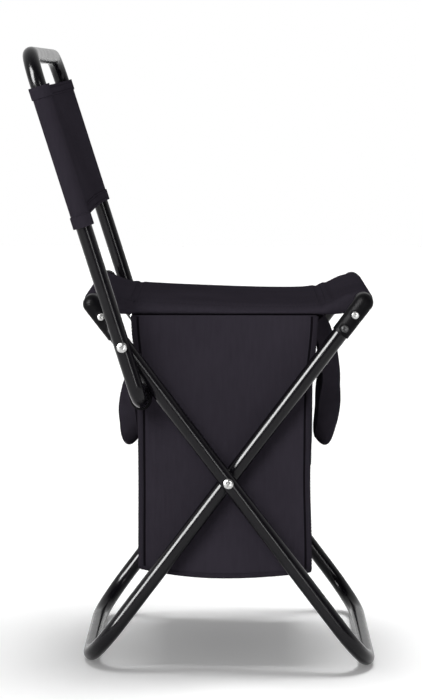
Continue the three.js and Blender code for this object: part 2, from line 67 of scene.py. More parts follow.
# Camera of the photograph
photo = {
    "height": 700,
    "focalPixels": 2453.6,
    "place": (crossing.x * mm + 0.005, -2.5626, 0.5998),
    "lookDown": 6.42,
    "lookLeft": 0.52,
}


def addCamera():
    lens = bpy.data.cameras.new("camera")
    lens.sensor_width = 36
    lens.lens = photo["focalPixels"] / photo["height"] * lens.sensor_width
    eye = addObject("camera", lens)
    down, left = math.radians(photo["lookDown"]), math.radians(photo["lookLeft"])
    aim = Vector((-math.sin(left) * math.cos(down), math.cos(left) * math.cos(down), -math.sin(down)))
    eye.location = photo["place"]
    eye.rotation_euler = aim.to_track_quat("-Z", "Y").to_euler()
    scene.camera = eye


addCamera()


# Node helpers
def put(tree, kind, settings=None, **sockets):
    made = tree.nodes.new("ShaderNode" + kind)
    for name, value in (settings or {}).items():
        setattr(made, name, value)
    for name, value in sockets.items():
        feed(tree, made.inputs[name], value)
    return made


def feed(tree, socket, value):
    if isinstance(value, bpy.types.NodeSocket):
        tree.links.new(value, socket)
    else:
        socket.default_value = value


def sums(tree, operation, *values):
    made = tree.nodes.new("ShaderNodeMath")
    made.operation = operation
    for socket, value in zip(made.inputs, values):
        feed(tree, socket, value)
    return made.outputs[0]


def remap(tree, value, low, high, toLow, toHigh):
    made = put(tree, "MapRange", Value=value)
    for name, number in (("From Min", low), ("From Max", high), ("To Min", toLow), ("To Max", toHigh)):
        made.inputs[name].default_value = number
    return made.outputs[0]


def tint(tree, amount, *colours):
    made = put(tree, "Mix", {"data_type": "RGBA"})
    feed(tree, made.inputs[0], amount)
    for socket, colour in zip((made.inputs[6], made.inputs[7]), colours):
        feed(tree, socket, (*colour, 1) if isinstance(colour, tuple) else colour)
    return made.outputs[2]


def bumped(tree, height, strength, depth):
    made = put(tree, "Bump", Height=height, Strength=strength, Distance=depth)
    return made.outputs[0]


def startMaterial(name):
    made = bpy.data.materials.new(name)
    made.use_nodes = True
    tree = made.node_tree
    skin = tree.nodes["Principled BSDF"]
    place = put(tree, "TexCoord").outputs["Object"]
    return made, tree, skin, place


def noise(tree, place, scale, detail=3.0):
    return put(tree, "TexNoise", Vector=place, Scale=scale, Detail=detail).outputs["Fac"]


# Studio: white floor and surroundings, a sun over the floor, a key sun at the camera's left, weak side suns
studio = {
    "floorSize": 6.0,
    "floorColour": 0.94,
    "floorLift": 0.15,
    "fill": 0.3,
    "mirrorBack": 0.85,
    "mirrorFront": 0.03,
    "mirrorSpan": (-0.5, 0.3),
    "cardAim": (0.03, 0, 0.3),
}
suns = [
    {"name": "overheadSun", "strength": 2.5, "angle": 28, "fromWay": (0.0, 0.1, 1.0), "floor": "INCLUDE"},
    {"name": "keySun", "strength": 2.35, "angle": 26, "fromWay": (-0.4, -1.0, 0.6), "floor": "EXCLUDE"},
    {"name": "flapSideSun", "strength": 1.0, "angle": 40, "fromWay": (1.0, 0.5, 0.4), "floor": "EXCLUDE"},
    {"name": "backSideSun", "strength": 1.2, "angle": 40, "fromWay": (-1.0, 0.6, 0.4), "floor": "EXCLUDE"},
]
cards = [
    {"name": "leftCard", "place": (-1.45, -1.4, 1.19), "size": (1.0, 1.5), "power": 230},
    {"name": "rightCard", "place": (0.92, -2.0, 0.7), "size": (0.25, 1.2), "power": 12},
]


def addFloor():
    bm = bmesh.new()
    bmesh.ops.create_grid(bm, x_segments=1, y_segments=1, size=studio["floorSize"])
    mesh = bpy.data.meshes.new("floor")
    bm.to_mesh(mesh)
    bm.free()
    floor = addObject("floor", mesh)
    made = bpy.data.materials.new("floor")
    made.use_nodes = True
    tree = made.node_tree
    tree.nodes.clear()
    matt = put(tree, "BsdfDiffuse", Color=(*[studio["floorColour"]] * 3, 1))
    ray = put(tree, "LightPath").outputs
    seen = sums(tree, "MAXIMUM", sums(tree, "MAXIMUM", ray["Is Camera Ray"], ray["Is Glossy Ray"]),
                ray["Is Transmission Ray"])
    glow = put(tree, "Emission", Strength=sums(tree, "MULTIPLY", seen, studio["floorLift"]))
    both = put(tree, "AddShader")
    tree.links.new(matt.outputs[0], both.inputs[0])
    tree.links.new(glow.outputs[0], both.inputs[1])
    out = put(tree, "OutputMaterial")
    tree.links.new(both.outputs[0], out.inputs["Surface"])
    mesh.materials.append(made)
    return floor


def addWorld():
    world = bpy.data.worlds.new("studio")
    scene.world = world
    world.use_nodes = True
    tree = world.node_tree
    tree.nodes.clear()
    ray = put(tree, "LightPath").outputs
    way = put(tree, "SeparateXYZ", Vector=put(tree, "TexCoord").outputs["Generated"])
    front, back = studio["mirrorFront"], studio["mirrorBack"]
    mirrored = remap(tree, way.outputs["Y"], *studio["mirrorSpan"], front, back)
    shiny = sums(tree, "MAXIMUM", ray["Is Glossy Ray"], ray["Is Transmission Ray"])
    strength = put(tree, "Mix")
    feed(tree, strength.inputs[0], shiny)
    feed(tree, strength.inputs[2], studio["fill"])
    feed(tree, strength.inputs[3], mirrored)
    plain = sums(tree, "MAXIMUM", strength.outputs[0], ray["Is Camera Ray"])
    sky = put(tree, "Background", Color=(1, 1, 1, 1), Strength=plain)
    out = put(tree, "OutputWorld")
    tree.links.new(sky.outputs[0], out.inputs["Surface"])


# the overhead sun reaches the floor alone, the others all but the floor
def addSun(sun, floor):
    data = bpy.data.lights.new(sun["name"], "SUN")
    data.energy = sun["strength"]
    data.angle = math.radians(sun["angle"])
    lamp = addObject(sun["name"], data)
    lamp.rotation_euler = (-Vector(sun["fromWay"])).to_track_quat("-Z", "Y").to_euler()
    lamp.visible_glossy = False
    reached = bpy.data.collections.new(sun["name"] + "Reach")
    reached.objects.link(floor)
    reached.collection_objects[0].light_linking.link_state = sun["floor"]
    lamp.light_linking.receiver_collection = reached


# bright cards that only show as reflections in the tubes and fasteners
def addCard(card):
    data = bpy.data.lights.new(card["name"], "AREA")
    data.shape = "RECTANGLE"
    data.size, data.size_y = card["size"]
    data.energy = card["power"]
    lamp = addObject(card["name"], data)
    lamp.location = card["place"]
    lamp.visible_diffuse = False
    aim = Vector(studio["cardAim"]) - Vector(card["place"])
    lamp.rotation_euler = aim.to_track_quat("-Z", "Y").to_euler()


scene.view_settings.view_transform = "Standard"
floor = addFloor()
addWorld()
for sun in suns:
    addSun(sun, floor)
for card in cards:
    addCard(card)
print("camera and studio ready")


# Materials
lookSockets = {
    "colour": "Base Color",
    "rough": "Roughness",
    "relief": "Normal",
    "shine": "Specular IOR Level",
    "metal": "Metallic",
}


def dress(tree, skin, **looks):
    for word, value in looks.items():
        feed(tree, skin.inputs[lookSockets[word]], value)


def spread(tree, cloud, low, high):
    # nearly all of a noise lies between these two values
    return remap(tree, cloud, 0.3, 0.7, low, high)


def weighed(tree, *parts):
    shares = [sums(tree, "MULTIPLY", value, weight) for value, weight in parts]
    total = shares[0]
    for share in shares[1:]:
        total = sums(tree, "ADD", total, share)
    return total


def drawnOut(tree, place, scale):
    return put(tree, "Mapping", Vector=place, Scale=scale).outputs[0]


def weaveFlat(tree):
    return put(tree, "SeparateXYZ", Vector=put(tree, "UVMap", {"uv_map": "weave"}).outputs[0]).outputs


def paintMaterial():
    made, tree, skin, place = startMaterial("blackEnamel")
    cloud = noise(tree, place, 35, 4)
    peel = noise(tree, place, 700, 2)
    height = put(tree, "SeparateXYZ", Vector=place).outputs["Z"]
    scratch = noise(tree, drawnOut(tree, place, (1, 0.15, 1)), 420, 5)
    foot = remap(tree, height, 0.0005, 0.006, 1, 0)
    worn = sums(tree, "MULTIPLY", foot, remap(tree, scratch, 0.5, 0.62, 0, 1))
    whole = tint(tree, cloud, (0.0028, 0.0025, 0.0035), (0.0054, 0.0048, 0.0064))
    dress(tree, skin,
          colour=tint(tree, worn, whole, (0.11, 0.11, 0.11)),
          rough=sums(tree, "ADD", spread(tree, cloud, 0.17, 0.24), sums(tree, "MULTIPLY", worn, 0.3)),
          relief=bumped(tree, peel, 0.03, 0.0001),
          shine=0.2)
    return made


def plasticMaterial():
    made, tree, skin, place = startMaterial("grainedPlastic")
    grain = put(tree, "TexVoronoi", Vector=place, Scale=900).outputs["Distance"]
    cloud = noise(tree, place, 60, 4)
    dress(tree, skin,
          colour=tint(tree, cloud, (0.0024, 0.0022, 0.0029), (0.0050, 0.0046, 0.0057)),
          rough=spread(tree, cloud, 0.34, 0.48),
          relief=bumped(tree, grain, 0.5, 0.0003),
          shine=0.04)
    return made


def steelMaterial():
    made, tree, skin, place = startMaterial("brightSteel")
    cloud = noise(tree, place, 260, 4)
    dress(tree, skin,
          colour=tint(tree, cloud, (0.40, 0.40, 0.40), (0.58, 0.58, 0.57)),
          rough=spread(tree, cloud, 0.22, 0.36),
          relief=bumped(tree, noise(tree, place, 1500, 2), 0.08, 0.0001),
          metal=1)
    return made


def darkSteelMaterial():
    made, tree, skin, place = startMaterial("blackenedSteel")
    cloud = noise(tree, place, 400, 4)
    dress(tree, skin,
          colour=tint(tree, cloud, (0.03, 0.03, 0.032), (0.10, 0.10, 0.10)),
          rough=spread(tree, cloud, 0.3, 0.5),
          metal=1)
    return made


def clothMaterial(name, dark, light, thread):
    made, tree, skin, place = startMaterial(name)
    flat = weaveFlat(tree)
    turns = math.pi / (thread * mm)
    warp = sums(tree, "SINE", sums(tree, "MULTIPLY", flat["X"], turns))
    weft = sums(tree, "SINE", sums(tree, "MULTIPLY", flat["Y"], turns))
    weave = sums(tree, "MULTIPLY_ADD", sums(tree, "MULTIPLY", warp, weft), 0.5, 0.5)
    slub = noise(tree, drawnOut(tree, place, (1, 1, 0.12)), 380, 2)
    cloud = noise(tree, place, 14, 5)
    shade = weighed(tree, (weave, 0.35), (slub, 0.3), (cloud, 0.5))
    dress(tree, skin,
          colour=tint(tree, remap(tree, shade, 0.2, 1.0, 0, 1), dark, light),
          rough=spread(tree, cloud, 0.72, 0.9),
          relief=bumped(tree, weave, 0.35, 0.0003),
          shine=0)
    return made


def webbingMaterial():
    made, tree, skin, place = startMaterial("webbing")
    flat = weaveFlat(tree)
    rows = sums(tree, "PINGPONG", flat["X"], 2.1 * mm)
    slant = sums(tree, "ADD", flat["Y"], rows)
    rib = sums(tree, "MULTIPLY_ADD", sums(tree, "SINE", sums(tree, "MULTIPLY", slant, 4200)), 0.5, 0.5)
    cloud = noise(tree, place, 90, 4)
    shade = weighed(tree, (rib, 0.5), (cloud, 0.5))
    dress(tree, skin,
          colour=tint(tree, shade, (0.0135, 0.0118, 0.0157), (0.031, 0.0273, 0.036)),
          rough=spread(tree, cloud, 0.7, 0.88),
          relief=bumped(tree, rib, 0.6, 0.0005),
          shine=0)
    return made


def threadMaterial():
    made, tree, skin, place = startMaterial("sewingThread")
    twist = noise(tree, place, 2600, 2)
    dress(tree, skin,
          colour=tint(tree, twist, (0.014, 0.0122, 0.0164), (0.026, 0.0228, 0.0302)),
          rough=0.8,
          relief=bumped(tree, twist, 0.4, 0.0002),
          shine=0)
    return made


def filmMaterial():
    made, tree, skin, place = startMaterial("silverFilm")
    crumple = put(tree, "TexVoronoi", {"feature": "SMOOTH_F1"}, Vector=place, Scale=55).outputs["Distance"]
    fine = noise(tree, place, 160, 4)
    height = sums(tree, "ADD", crumple, sums(tree, "MULTIPLY", fine, 0.4))
    dress(tree, skin,
          colour=tint(tree, fine, (0.50, 0.51, 0.53), (0.66, 0.67, 0.69)),
          rough=spread(tree, fine, 0.26, 0.42),
          relief=bumped(tree, height, 0.5, 0.002),
          metal=0.7)
    return made


def foamMaterial():
    made, tree, skin, place = startMaterial("whiteFoam")
    cells = put(tree, "TexVoronoi", Vector=place, Scale=650).outputs["Distance"]
    dress(tree, skin,
          colour=tint(tree, cells, (0.55, 0.55, 0.54), (0.78, 0.78, 0.77)),
          rough=0.9,
          relief=bumped(tree, cells, 0.6, 0.0006))
    return made


def boardMaterial():
    made, tree, skin, place = startMaterial("fibreBoard")
    fibre = noise(tree, drawnOut(tree, place, (0.3, 1, 1)), 300, 5)
    dress(tree, skin,
          colour=tint(tree, fibre, (0.07, 0.065, 0.06), (0.13, 0.12, 0.11)),
          rough=0.85,
          relief=bumped(tree, fibre, 0.3, 0.0004))
    return made


paint = paintMaterial()
plastic = plasticMaterial()
steel = steelMaterial()
darkSteel = darkSteelMaterial()
cloth = clothMaterial("wovenCloth", (0.0178, 0.0155, 0.0208), (0.034, 0.0298, 0.0395), 0.55)
# near-black cloth for the sunk strips beside the bag's upright tapes: painted shade of the groove between
# tape and panel
paintedSeamShade = clothMaterial("paintedSeamShade", (0.0035, 0.003, 0.0041), (0.0075, 0.0066, 0.0087), 0.8)
trim = clothMaterial("bindingTape", (0.0142, 0.0124, 0.0165), (0.0286, 0.0251, 0.0332), 0.8)
webbing = webbingMaterial()
thread = threadMaterial()
film = filmMaterial()
foam = foamMaterial()
board = boardMaterial()
print("materials ready")


# Mesh helpers
def finishPiece(name, bm, materials, sharpAngle=40, tidy=True):
    if tidy:
        bmesh.ops.remove_doubles(bm, verts=bm.verts, dist=0.001)
        bmesh.ops.recalc_face_normals(bm, faces=bm.faces)
    bmesh.ops.scale(bm, verts=bm.verts, vec=(mm, mm, mm))
    mesh = bpy.data.meshes.new(name)
    for face in bm.faces:
        face.smooth = True
    bm.to_mesh(mesh)
    bm.free()
    mesh.set_sharp_from_angle(angle=math.radians(sharpAngle))
    for material in materials:
        mesh.materials.append(material)
    return addObject(name, mesh)


def settle(piece, body, slot, *nodes):
    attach(piece, body)
    if nodes:
        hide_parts(*nodes)


def solidified(piece, thickness, offset=-1):
    shell = piece.modifiers.new("wall", "SOLIDIFY")
    shell.thickness = thickness
    shell.offset = offset
    shell.use_even_offset = False
    return piece


def addVoxelSkin(piece, voxel):
    skin = piece.modifiers.new("skin", "REMESH")
    skin.mode = "VOXEL"
    skin.voxel_size = voxel


def bake(piece):
    bpy.context.view_layer.update()
    solid = piece.evaluated_get(bpy.context.evaluated_depsgraph_get())
    mesh = bpy.data.meshes.new_from_object(solid)
    piece.modifiers.clear()
    piece.data = mesh


def lendOut(bm, name):
    # hands the shape to an object for its modifiers and leaves the bmesh empty
    mesh = bpy.data.meshes.new(name)
    bm.to_mesh(mesh)
    bm.clear()
    return addObject(name, mesh)


def takeBack(bm, piece):
    bake(piece)
    bm.from_mesh(piece.data)
    bpy.data.objects.remove(piece)


def thicken(bm, thickness, offset):
    # gives an open sheet its wall before anything is sewn on it
    takeBack(bm, solidified(lendOut(bm, "wall"), thickness, offset))


def closedRing(bm, points):
    verts = [bm.verts.new(p) for p in points]
    return verts, [bm.edges.new(pair) for pair in zip(verts, verts[1:] + verts[:1])]


def pushOn(bm, edges, way):
    # draws an open loop of edges on by one step
    grown = bmesh.ops.extrude_edge_only(bm, edges=edges)["geom"]
    moved = [g for g in grown if isinstance(g, bmesh.types.BMVert)]
    bmesh.ops.translate(bm, verts=moved, vec=way)
    return [g for g in grown if isinstance(g, bmesh.types.BMEdge) and g.is_boundary], moved


def pullThrough(bm, edges, way, stations):
    for a, b in zip([0.0] + stations, stations):
        edges, _ = pushOn(bm, edges, way * (b - a))


def rounded(bm, edges, offset, segments):
    bmesh.ops.bevel(bm, geom=edges, offset=offset, segments=segments, profile=0.5, affect="EDGES",
                    material=-1)


def boxUnwrap(bm, stretch=mm):
    layer = bm.loops.layers.uv.get("weave") or bm.loops.layers.uv.new("weave")
    bm.normal_update()
    for face in bm.faces:
        lean = [abs(n) for n in face.normal]
        across, up = ((1, 2), (0, 2), (0, 1))[lean.index(max(lean))]
        for loop in face.loops:
            loop[layer].uv = (loop.vert.co[across] * stretch, loop.vert.co[up] * stretch)


def wholeOf(bm):
    return bm.verts[:] + bm.edges[:] + bm.faces[:]


def sliceUp(bm, axis, low, high, step):
    normal = Vector((0, 0, 0))
    normal[axis] = 1
    count = max(1, round((high - low) / step))
    for i in range(1, count):
        place = normal * (low + (high - low) * i / count)
        bmesh.ops.bisect_plane(bm, geom=wholeOf(bm), dist=0.0001, plane_co=place, plane_no=normal)


def smoothStep(value, low, high):
    share = min(1.0, max(0.0, (value - low) / (high - low)))
    return share * share * (3 - 2 * share)


def spaced(low, high, steps):
    return [low + (high - low) * i / steps for i in range(steps + 1)]


def arcRound(centre, radius, fromAngle, toAngle, steps):
    angles = spaced(fromAngle, toAngle, steps)
    return [(centre[0] + radius * math.cos(a), centre[1] + radius * math.sin(a)) for a in angles]


def along(points, count):
    lengths = [0.0]
    for a, b in zip(points, points[1:]):
        lengths.append(lengths[-1] + (b - a).length)
    found = []
    step = 0
    for i in range(count):
        target = lengths[-1] * i / (count - 1)
        while step < len(points) - 2 and lengths[step + 1] < target:
            step += 1
        span = max(1e-9, lengths[step + 1] - lengths[step])
        found.append(points[step].lerp(points[step + 1], (target - lengths[step]) / span))
    return found


def joinTo(bm, extra):
    mesh = bpy.data.meshes.new("joined")
    extra.to_mesh(mesh)
    extra.free()
    bm.from_mesh(mesh)
    bpy.data.meshes.remove(mesh)


stitch = {"pitch": 3.4, "size": (1.15, 0.34, 0.3)}


def sewRow(bm, points, outward, pitch=stitch["pitch"]):
    # each stitch is a small bead laid along the seam, in the piece's second material
    total = sum((b - a).length for a, b in zip(points, points[1:]))
    places = along(points, max(2, round(total / pitch)) * 2 + 1)
    beads = bmesh.new()
    for i in range(1, len(places) - 1, 2):
        run = (places[i + 1] - places[i - 1]).normalized()
        up = (outward - run * outward.dot(run)).normalized()
        turn = Matrix((run, up.cross(run), up)).transposed().to_4x4()
        stand = Matrix.Translation(places[i]) @ turn @ Matrix.Diagonal((*stitch["size"], 1))
        bmesh.ops.create_icosphere(beads, subdivisions=1, radius=1, matrix=stand)
    for face in beads.faces:
        face.material_index = 1
    joinTo(bm, beads)


# Tubes: a ring is pushed along straight runs and spun round the bends
def sweptTube(bm, radius, start, heading, moves, ringSides=40, bendSteps=16):
    place, heading = Vector(start), Vector(heading)
    stand = Matrix.Translation(place) @ heading.to_track_quat("Z", "Y").to_matrix().to_4x4()
    ring = bmesh.ops.create_circle(bm, cap_ends=True, segments=ringSides, radius=radius, matrix=stand)
    edges = list({e for v in ring["verts"] for e in v.link_edges})
    for move in moves:
        if "run" in move:
            edges, _ = pushOn(bm, edges, heading * move["run"])
            place = place + heading * move["run"]
        else:
            hub = place + Vector(move["toward"]) * move["bend"]
            axis = heading.cross(Vector(move["toward"]))
            verts = list({v for e in edges for v in e.verts})
            grown = bmesh.ops.spin(bm, geom=verts + edges, cent=hub, axis=axis, angle=math.pi / 2,
                                   steps=bendSteps, use_merge=False, use_duplicate=False)["geom_last"]
            edges = [g for g in grown if isinstance(g, bmesh.types.BMEdge)]
            turn = Matrix.Rotation(math.pi / 2, 3, axis)
            place = hub + turn @ (place - hub)
            heading = turn @ heading
    bmesh.ops.edgeloop_fill(bm, edges=edges)


legs = {
    "footHalfSpan": 141.5,
    "barHalfSpan": 134.5,
    "barHeight": 374.0,
    "tubeRadius": 8.0,
    "bend": 52.0,
    "innerSide": 132.0,
    "outerSide": 150.81,
    "socketCore": 11.0,
}
legTilt = math.atan2(legs["footHalfSpan"] + legs["barHalfSpan"], legs["barHeight"] - legs["tubeRadius"])
legAbove = legs["barHalfSpan"] / math.sin(legTilt)
legBelow = legs["footHalfSpan"] / math.sin(legTilt)
outerStand = Matrix.Translation(crossing) @ Matrix.Rotation(-legTilt, 4, "Y")
innerStand = Matrix.Translation(crossing) @ Matrix.Rotation(legTilt, 4, "Y")


def buildLegs(name, side, stand, body, node):
    bm = bmesh.new()
    top = legAbove - legs["socketCore"]
    down = top + legBelow - legs["bend"]
    sweptTube(bm, legs["tubeRadius"], (0, -side, top), (0, 0, -1), [
        {"run": down},
        {"bend": legs["bend"], "toward": (0, 1, 0)},
        {"run": 2 * (side - legs["bend"])},
        {"bend": legs["bend"], "toward": (0, 0, 1)},
        {"run": down},
    ])
    bm.transform(stand)
    settle(finishPiece(name, bm, [paint]), body, "tube_paint", node)


def buildSeatBar(name, side, stand, body, node):
    bm = bmesh.new()
    end = side - legs["socketCore"]
    sweptTube(bm, legs["tubeRadius"], (0, -end, legAbove), (0, 1, 0), [{"run": 2 * end}])
    bm.transform(stand)
    settle(finishPiece(name, bm, [paint]), body, "tube_paint", node)


buildLegs("outerLegs", legs["outerSide"], outerStand, "outer_frame", "outer_leg_frame")
buildLegs("innerLegs", legs["innerSide"], innerStand, "inner_frame", "inner_leg_frame")
buildSeatBar("rearSeatBar", legs["outerSide"], outerStand, "outer_frame", "rear_seat_bar")
buildSeatBar("frontSeatBar", legs["innerSide"], innerStand, "inner_frame", "front_seat_bar")

backrest = {
    "lean": 17.5,
    "reach": 298.5,
    "armSide": 171.03,
    "topBend": 31.0,
    "stubDrop": 57.5,
    "stubBend": 18.0,
    "stubReach": 38.0,
    "capRadius": 10.75,
    "capEnd": 2.3,
    "capFit": 0.1,
}
backTilt = Matrix.Rotation(-math.radians(backrest["lean"]), 4, "Y")
backStand = Matrix.Translation(jointAt["backrest_fold"]) @ backTilt


def buildBackrestTube():
    bm = bmesh.new()
    arm, stub = backrest["armSide"], backrest["stubReach"] - backrest["stubBend"]
    rise = backrest["stubDrop"] + backrest["reach"] - backrest["stubBend"] - backrest["topBend"]
    start = (0, backrest["stubReach"] - arm, -backrest["stubDrop"])
    sweptTube(bm, legs["tubeRadius"], start, (0, -1, 0), [
        {"run": stub},
        {"bend": backrest["stubBend"], "toward": (0, 0, 1)},
        {"run": rise},
        {"bend": backrest["topBend"], "toward": (0, 1, 0)},
        {"run": 2 * (arm - backrest["topBend"])},
        {"bend": backrest["topBend"], "toward": (0, 0, -1)},
        {"run": rise},
        {"bend": backrest["stubBend"], "toward": (0, -1, 0)},
        {"run": stub},
    ])
    bm.transform(backStand)
    settle(finishPiece("backrestTube", bm, [paint]), "backrest", "tube_paint", "backrest_frame")


buildBackrestTube()
print("tubes ready")


# Turned pieces: a profile of (radius, height) spun round an axis that points out of the chair
def turned(bm, profile, segments=36):
    verts = [bm.verts.new((r, 0, h)) for r, h in profile]
    edges = [bm.edges.new(pair) for pair in zip(verts, verts[1:])]
    bmesh.ops.spin(bm, geom=verts + edges, cent=(0, 0, 0), axis=(0, 0, 1), angle=2 * math.pi,
                   steps=segments, use_merge=True, use_duplicate=False)
    bmesh.ops.remove_doubles(bm, verts=bm.verts, dist=0.001)
    bmesh.ops.recalc_face_normals(bm, faces=bm.faces)


def facingOut(sign):
    # local +Z to the outside of the chair on that side
    return Matrix.Rotation(-sign * math.pi / 2, 4, "X")


def fused(bm, voxel, rounds):
    # joins overlapping bodies into one moulded skin
    rough = lendOut(bm, "moulding")
    addVoxelSkin(rough, voxel)
    soft = rough.modifiers.new("soft", "SMOOTH")
    soft.factor = 0.5
    soft.iterations = rounds
    takeBack(bm, rough)


elbow = {
    "radius": 9.5,
    "mouth": 9.1,
    "legReach": 39.0,
    "barReach": 16.0,
    "boss": 4.6,
    "bossProud": 0.2,
    "voxel": 0.75,
    "smoothing": 5,
}
rivet = {
    "stations": {"upper": 15.0, "lower": 32.0},
    "radius": 3.7,
    "height": 1.3,
    "eye": 1.1,
    "eyeDepth": 0.7,
    "shank": 2.0,
    "depth": 4.0,
    "sunk": 0.2,
}


def cylinder(bm, radius, length, stand, segments=48):
    bmesh.ops.create_cone(bm, cap_ends=True, segments=segments, radius1=radius, radius2=radius, depth=length,
                          matrix=stand)


def buildElbow(name, sign, side, stand, body, node):
    bm = bmesh.new()
    radius, leg, bar = elbow["radius"], elbow["legReach"], elbow["barReach"]
    inward = Matrix.Rotation(math.pi / 2, 4, "X")
    bmesh.ops.create_cone(bm, cap_ends=True, segments=48, radius1=elbow["mouth"], radius2=radius, depth=leg,
                          matrix=Matrix.Translation((0, 0, -leg / 2)))
    cylinder(bm, radius, bar, Matrix.Translation((0, -sign * bar / 2, 0)) @ inward)
    bmesh.ops.create_uvsphere(bm, u_segments=40, v_segments=24, radius=radius)
    for station in rivet["stations"].values():
        out = sign * (radius + elbow["bossProud"]) / 2
        cylinder(bm, elbow["boss"], abs(2 * out), Matrix.Translation((0, out, -station)) @ inward)
    fused(bm, elbow["voxel"], elbow["smoothing"])
    bm.transform(stand @ Matrix.Translation((0, sign * side, legAbove)))
    settle(finishPiece(name, bm, [plastic], tidy=False), body, "fitting_plastic", node)


def buildRivet(name, sign, side, station, metal, stand, body, node):
    bm = bmesh.new()
    radius, height = rivet["radius"], rivet["height"]
    base = elbow["radius"] + elbow["bossProud"] - rivet["sunk"]
    turned(bm, [
        (0, -rivet["depth"]),
        (rivet["shank"], -rivet["depth"]),
        (rivet["shank"], 0),
        (radius, 0),
        (radius, 0.3),
        (0.86 * radius, 0.75 * height),
        (0.6 * radius, height),
        (rivet["eye"] + 0.35, height),
        (rivet["eye"], height - 0.3),
        (rivet["eye"] * 0.8, height - rivet["eyeDepth"]),
        (0, height - rivet["eyeDepth"]),
    ])
    out = facingOut(sign) @ Matrix.Translation((0, 0, base))
    bm.transform(stand @ Matrix.Translation((0, sign * side, legAbove - station)) @ out)
    settle(finishPiece(name, bm, [metal], 30), body, "fastener_steel", node)


def buildCorners(word, side, stand, body):
    for sideWord, sign in sides.items():
        end = sideWord.capitalize()
        buildElbow(f"{word}Elbow{end}", sign, side, stand, body, f"{word}_elbow_{sideWord}")
        for place, station in rivet["stations"].items():
            name = f"{word}Rivet{place.capitalize()}{end}"
            metal = steel if place == "upper" else darkSteel
            buildRivet(name, sign, side, station, metal, stand, body, f"{word}_rivet_{place}_{sideWord}")


buildCorners("rear", legs["outerSide"], outerStand, "outer_frame")
buildCorners("front", legs["innerSide"], innerStand, "inner_frame")

bolt = {
    "radius": 3.0,
    "headRadius": 5.2,
    "headHeight": 3.0,
    "headGap": 0.3,
    "slotLength": 3.3,
    "slotWidth": 1.15,
    "slotDepth": 1.7,
    "slotTurn": 0.4,
    "slotTaper": 0.55,
}
nut = {
    "width": 10.0,
    "thickness": 4.0,
    "edge": 0.45,
    "gap": 0.45,
    "collar": 4.2,
    "collarHeight": 1.2,
    "tail": 0.45,
}
spacer = {"bore": 3.2, "radius": 7.0, "edge": 0.3, "gap": 0.45}


def cutAway(bm, tool):
    # takes one closed body out of another
    body, cutter = lendOut(bm, "cut"), lendOut(tool, "cut")
    tool.free()
    knife = body.modifiers.new("knife", "BOOLEAN")
    knife.operation = "DIFFERENCE"
    knife.solver = "EXACT"
    knife.use_self = True
    knife.object = cutter
    takeBack(bm, body)
    bpy.data.objects.remove(cutter)


def crossSlot(top):
    tool = bmesh.new()
    for turn in (0, math.pi / 2):
        size = Matrix.Diagonal((2 * bolt["slotLength"], bolt["slotWidth"], 2 * bolt["slotDepth"], 1))
        stand = Matrix.Translation((0, 0, top)) @ Matrix.Rotation(turn + bolt["slotTurn"], 4, "Z") @ size
        made = bmesh.ops.create_cube(tool, size=1, matrix=stand)["verts"]
        low = [v for v in made if v.co.z < top]
        taper = (bolt["slotTaper"], bolt["slotTaper"], 1)
        bmesh.ops.scale(tool, verts=low, vec=taper, space=Matrix.Translation((0, 0, -top)))
    return tool


def buildBolt(name, sign, inner, outer, stand, body, node):
    bm = bmesh.new()
    radius, head, tall = bolt["radius"], bolt["headRadius"], bolt["headHeight"]
    face = outer + legs["tubeRadius"] + bolt["headGap"]
    tail = inner - legs["tubeRadius"] - nut["gap"] - nut["thickness"] - nut["tail"]
    turned(bm, [
        (0, tail),
        (radius - 0.5, tail),
        (radius, tail + 0.5),
        (radius, face),
        (head - 0.3, face),
        (head, face + 0.3),
        (head, face + 0.35 * tall),
        (0.93 * head, face + 0.62 * tall),
        (0.76 * head, face + 0.84 * tall),
        (0.5 * head, face + 0.96 * tall),
        (0.2 * head, face + tall),
        (0, face + tall),
    ], 40)
    cutAway(bm, crossSlot(face + tall))
    bm.transform(stand @ facingOut(sign))
    settle(finishPiece(name, bm, [steel], 28), body, "fastener_steel", node)


def buildNut(name, sign, inner, stand, body, node):
    bm = bmesh.new()
    face = inner - legs["tubeRadius"] - nut["gap"]
    across = nut["width"] / 2 / math.cos(math.pi / 6)
    base = Matrix.Translation((0, 0, face - nut["thickness"] / 2))
    cylinder(bm, across, nut["thickness"], base, 6)
    rounded(bm, bm.edges[:], nut["edge"], 2)
    low = face - nut["thickness"]
    turned(bm, [
        (bolt["radius"], low + 0.5),
        (nut["collar"], low + 0.5),
        (nut["collar"], low - nut["collarHeight"] + 0.4),
        (nut["collar"] - 0.5, low - nut["collarHeight"]),
        (bolt["radius"], low - nut["collarHeight"]),
        (bolt["radius"], low + 0.5),
    ])
    bm.transform(stand @ facingOut(sign))
    settle(finishPiece(name, bm, [steel], 30), body, "fastener_steel", node)


def buildSpacer(name, sign, low, high, stand, body, node):
    bm = bmesh.new()
    bore, radius, edge = spacer["bore"], spacer["radius"], spacer["edge"]
    turned(bm, [
        (bore, low),
        (radius - edge, low),
        (radius, low + edge),
        (radius, high - edge),
        (radius - edge, high),
        (bore, high),
        (bore, low),
    ])
    bm.transform(stand @ facingOut(sign))
    settle(finishPiece(name, bm, [plastic], 30), body, "fitting_plastic", node)


def buildPivots(word, height, inner, outer):
    stand = outerStand @ Matrix.Translation((0, 0, height))
    low, high = inner + legs["tubeRadius"] + spacer["gap"], outer - legs["tubeRadius"] - spacer["gap"]
    body = "outer_frame"
    for sideWord, sign in sides.items():
        end = sideWord.capitalize()
        buildBolt(f"{word}Bolt{end}", sign, inner, outer, stand, body, f"{word}_bolt_{sideWord}")
        buildNut(f"{word}Nut{end}", sign, inner, stand, body, f"{word}_nut_{sideWord}")
        buildSpacer(f"{word}Spacer{end}", sign, low, high, stand, body, f"{word}_spacer_{sideWord}")


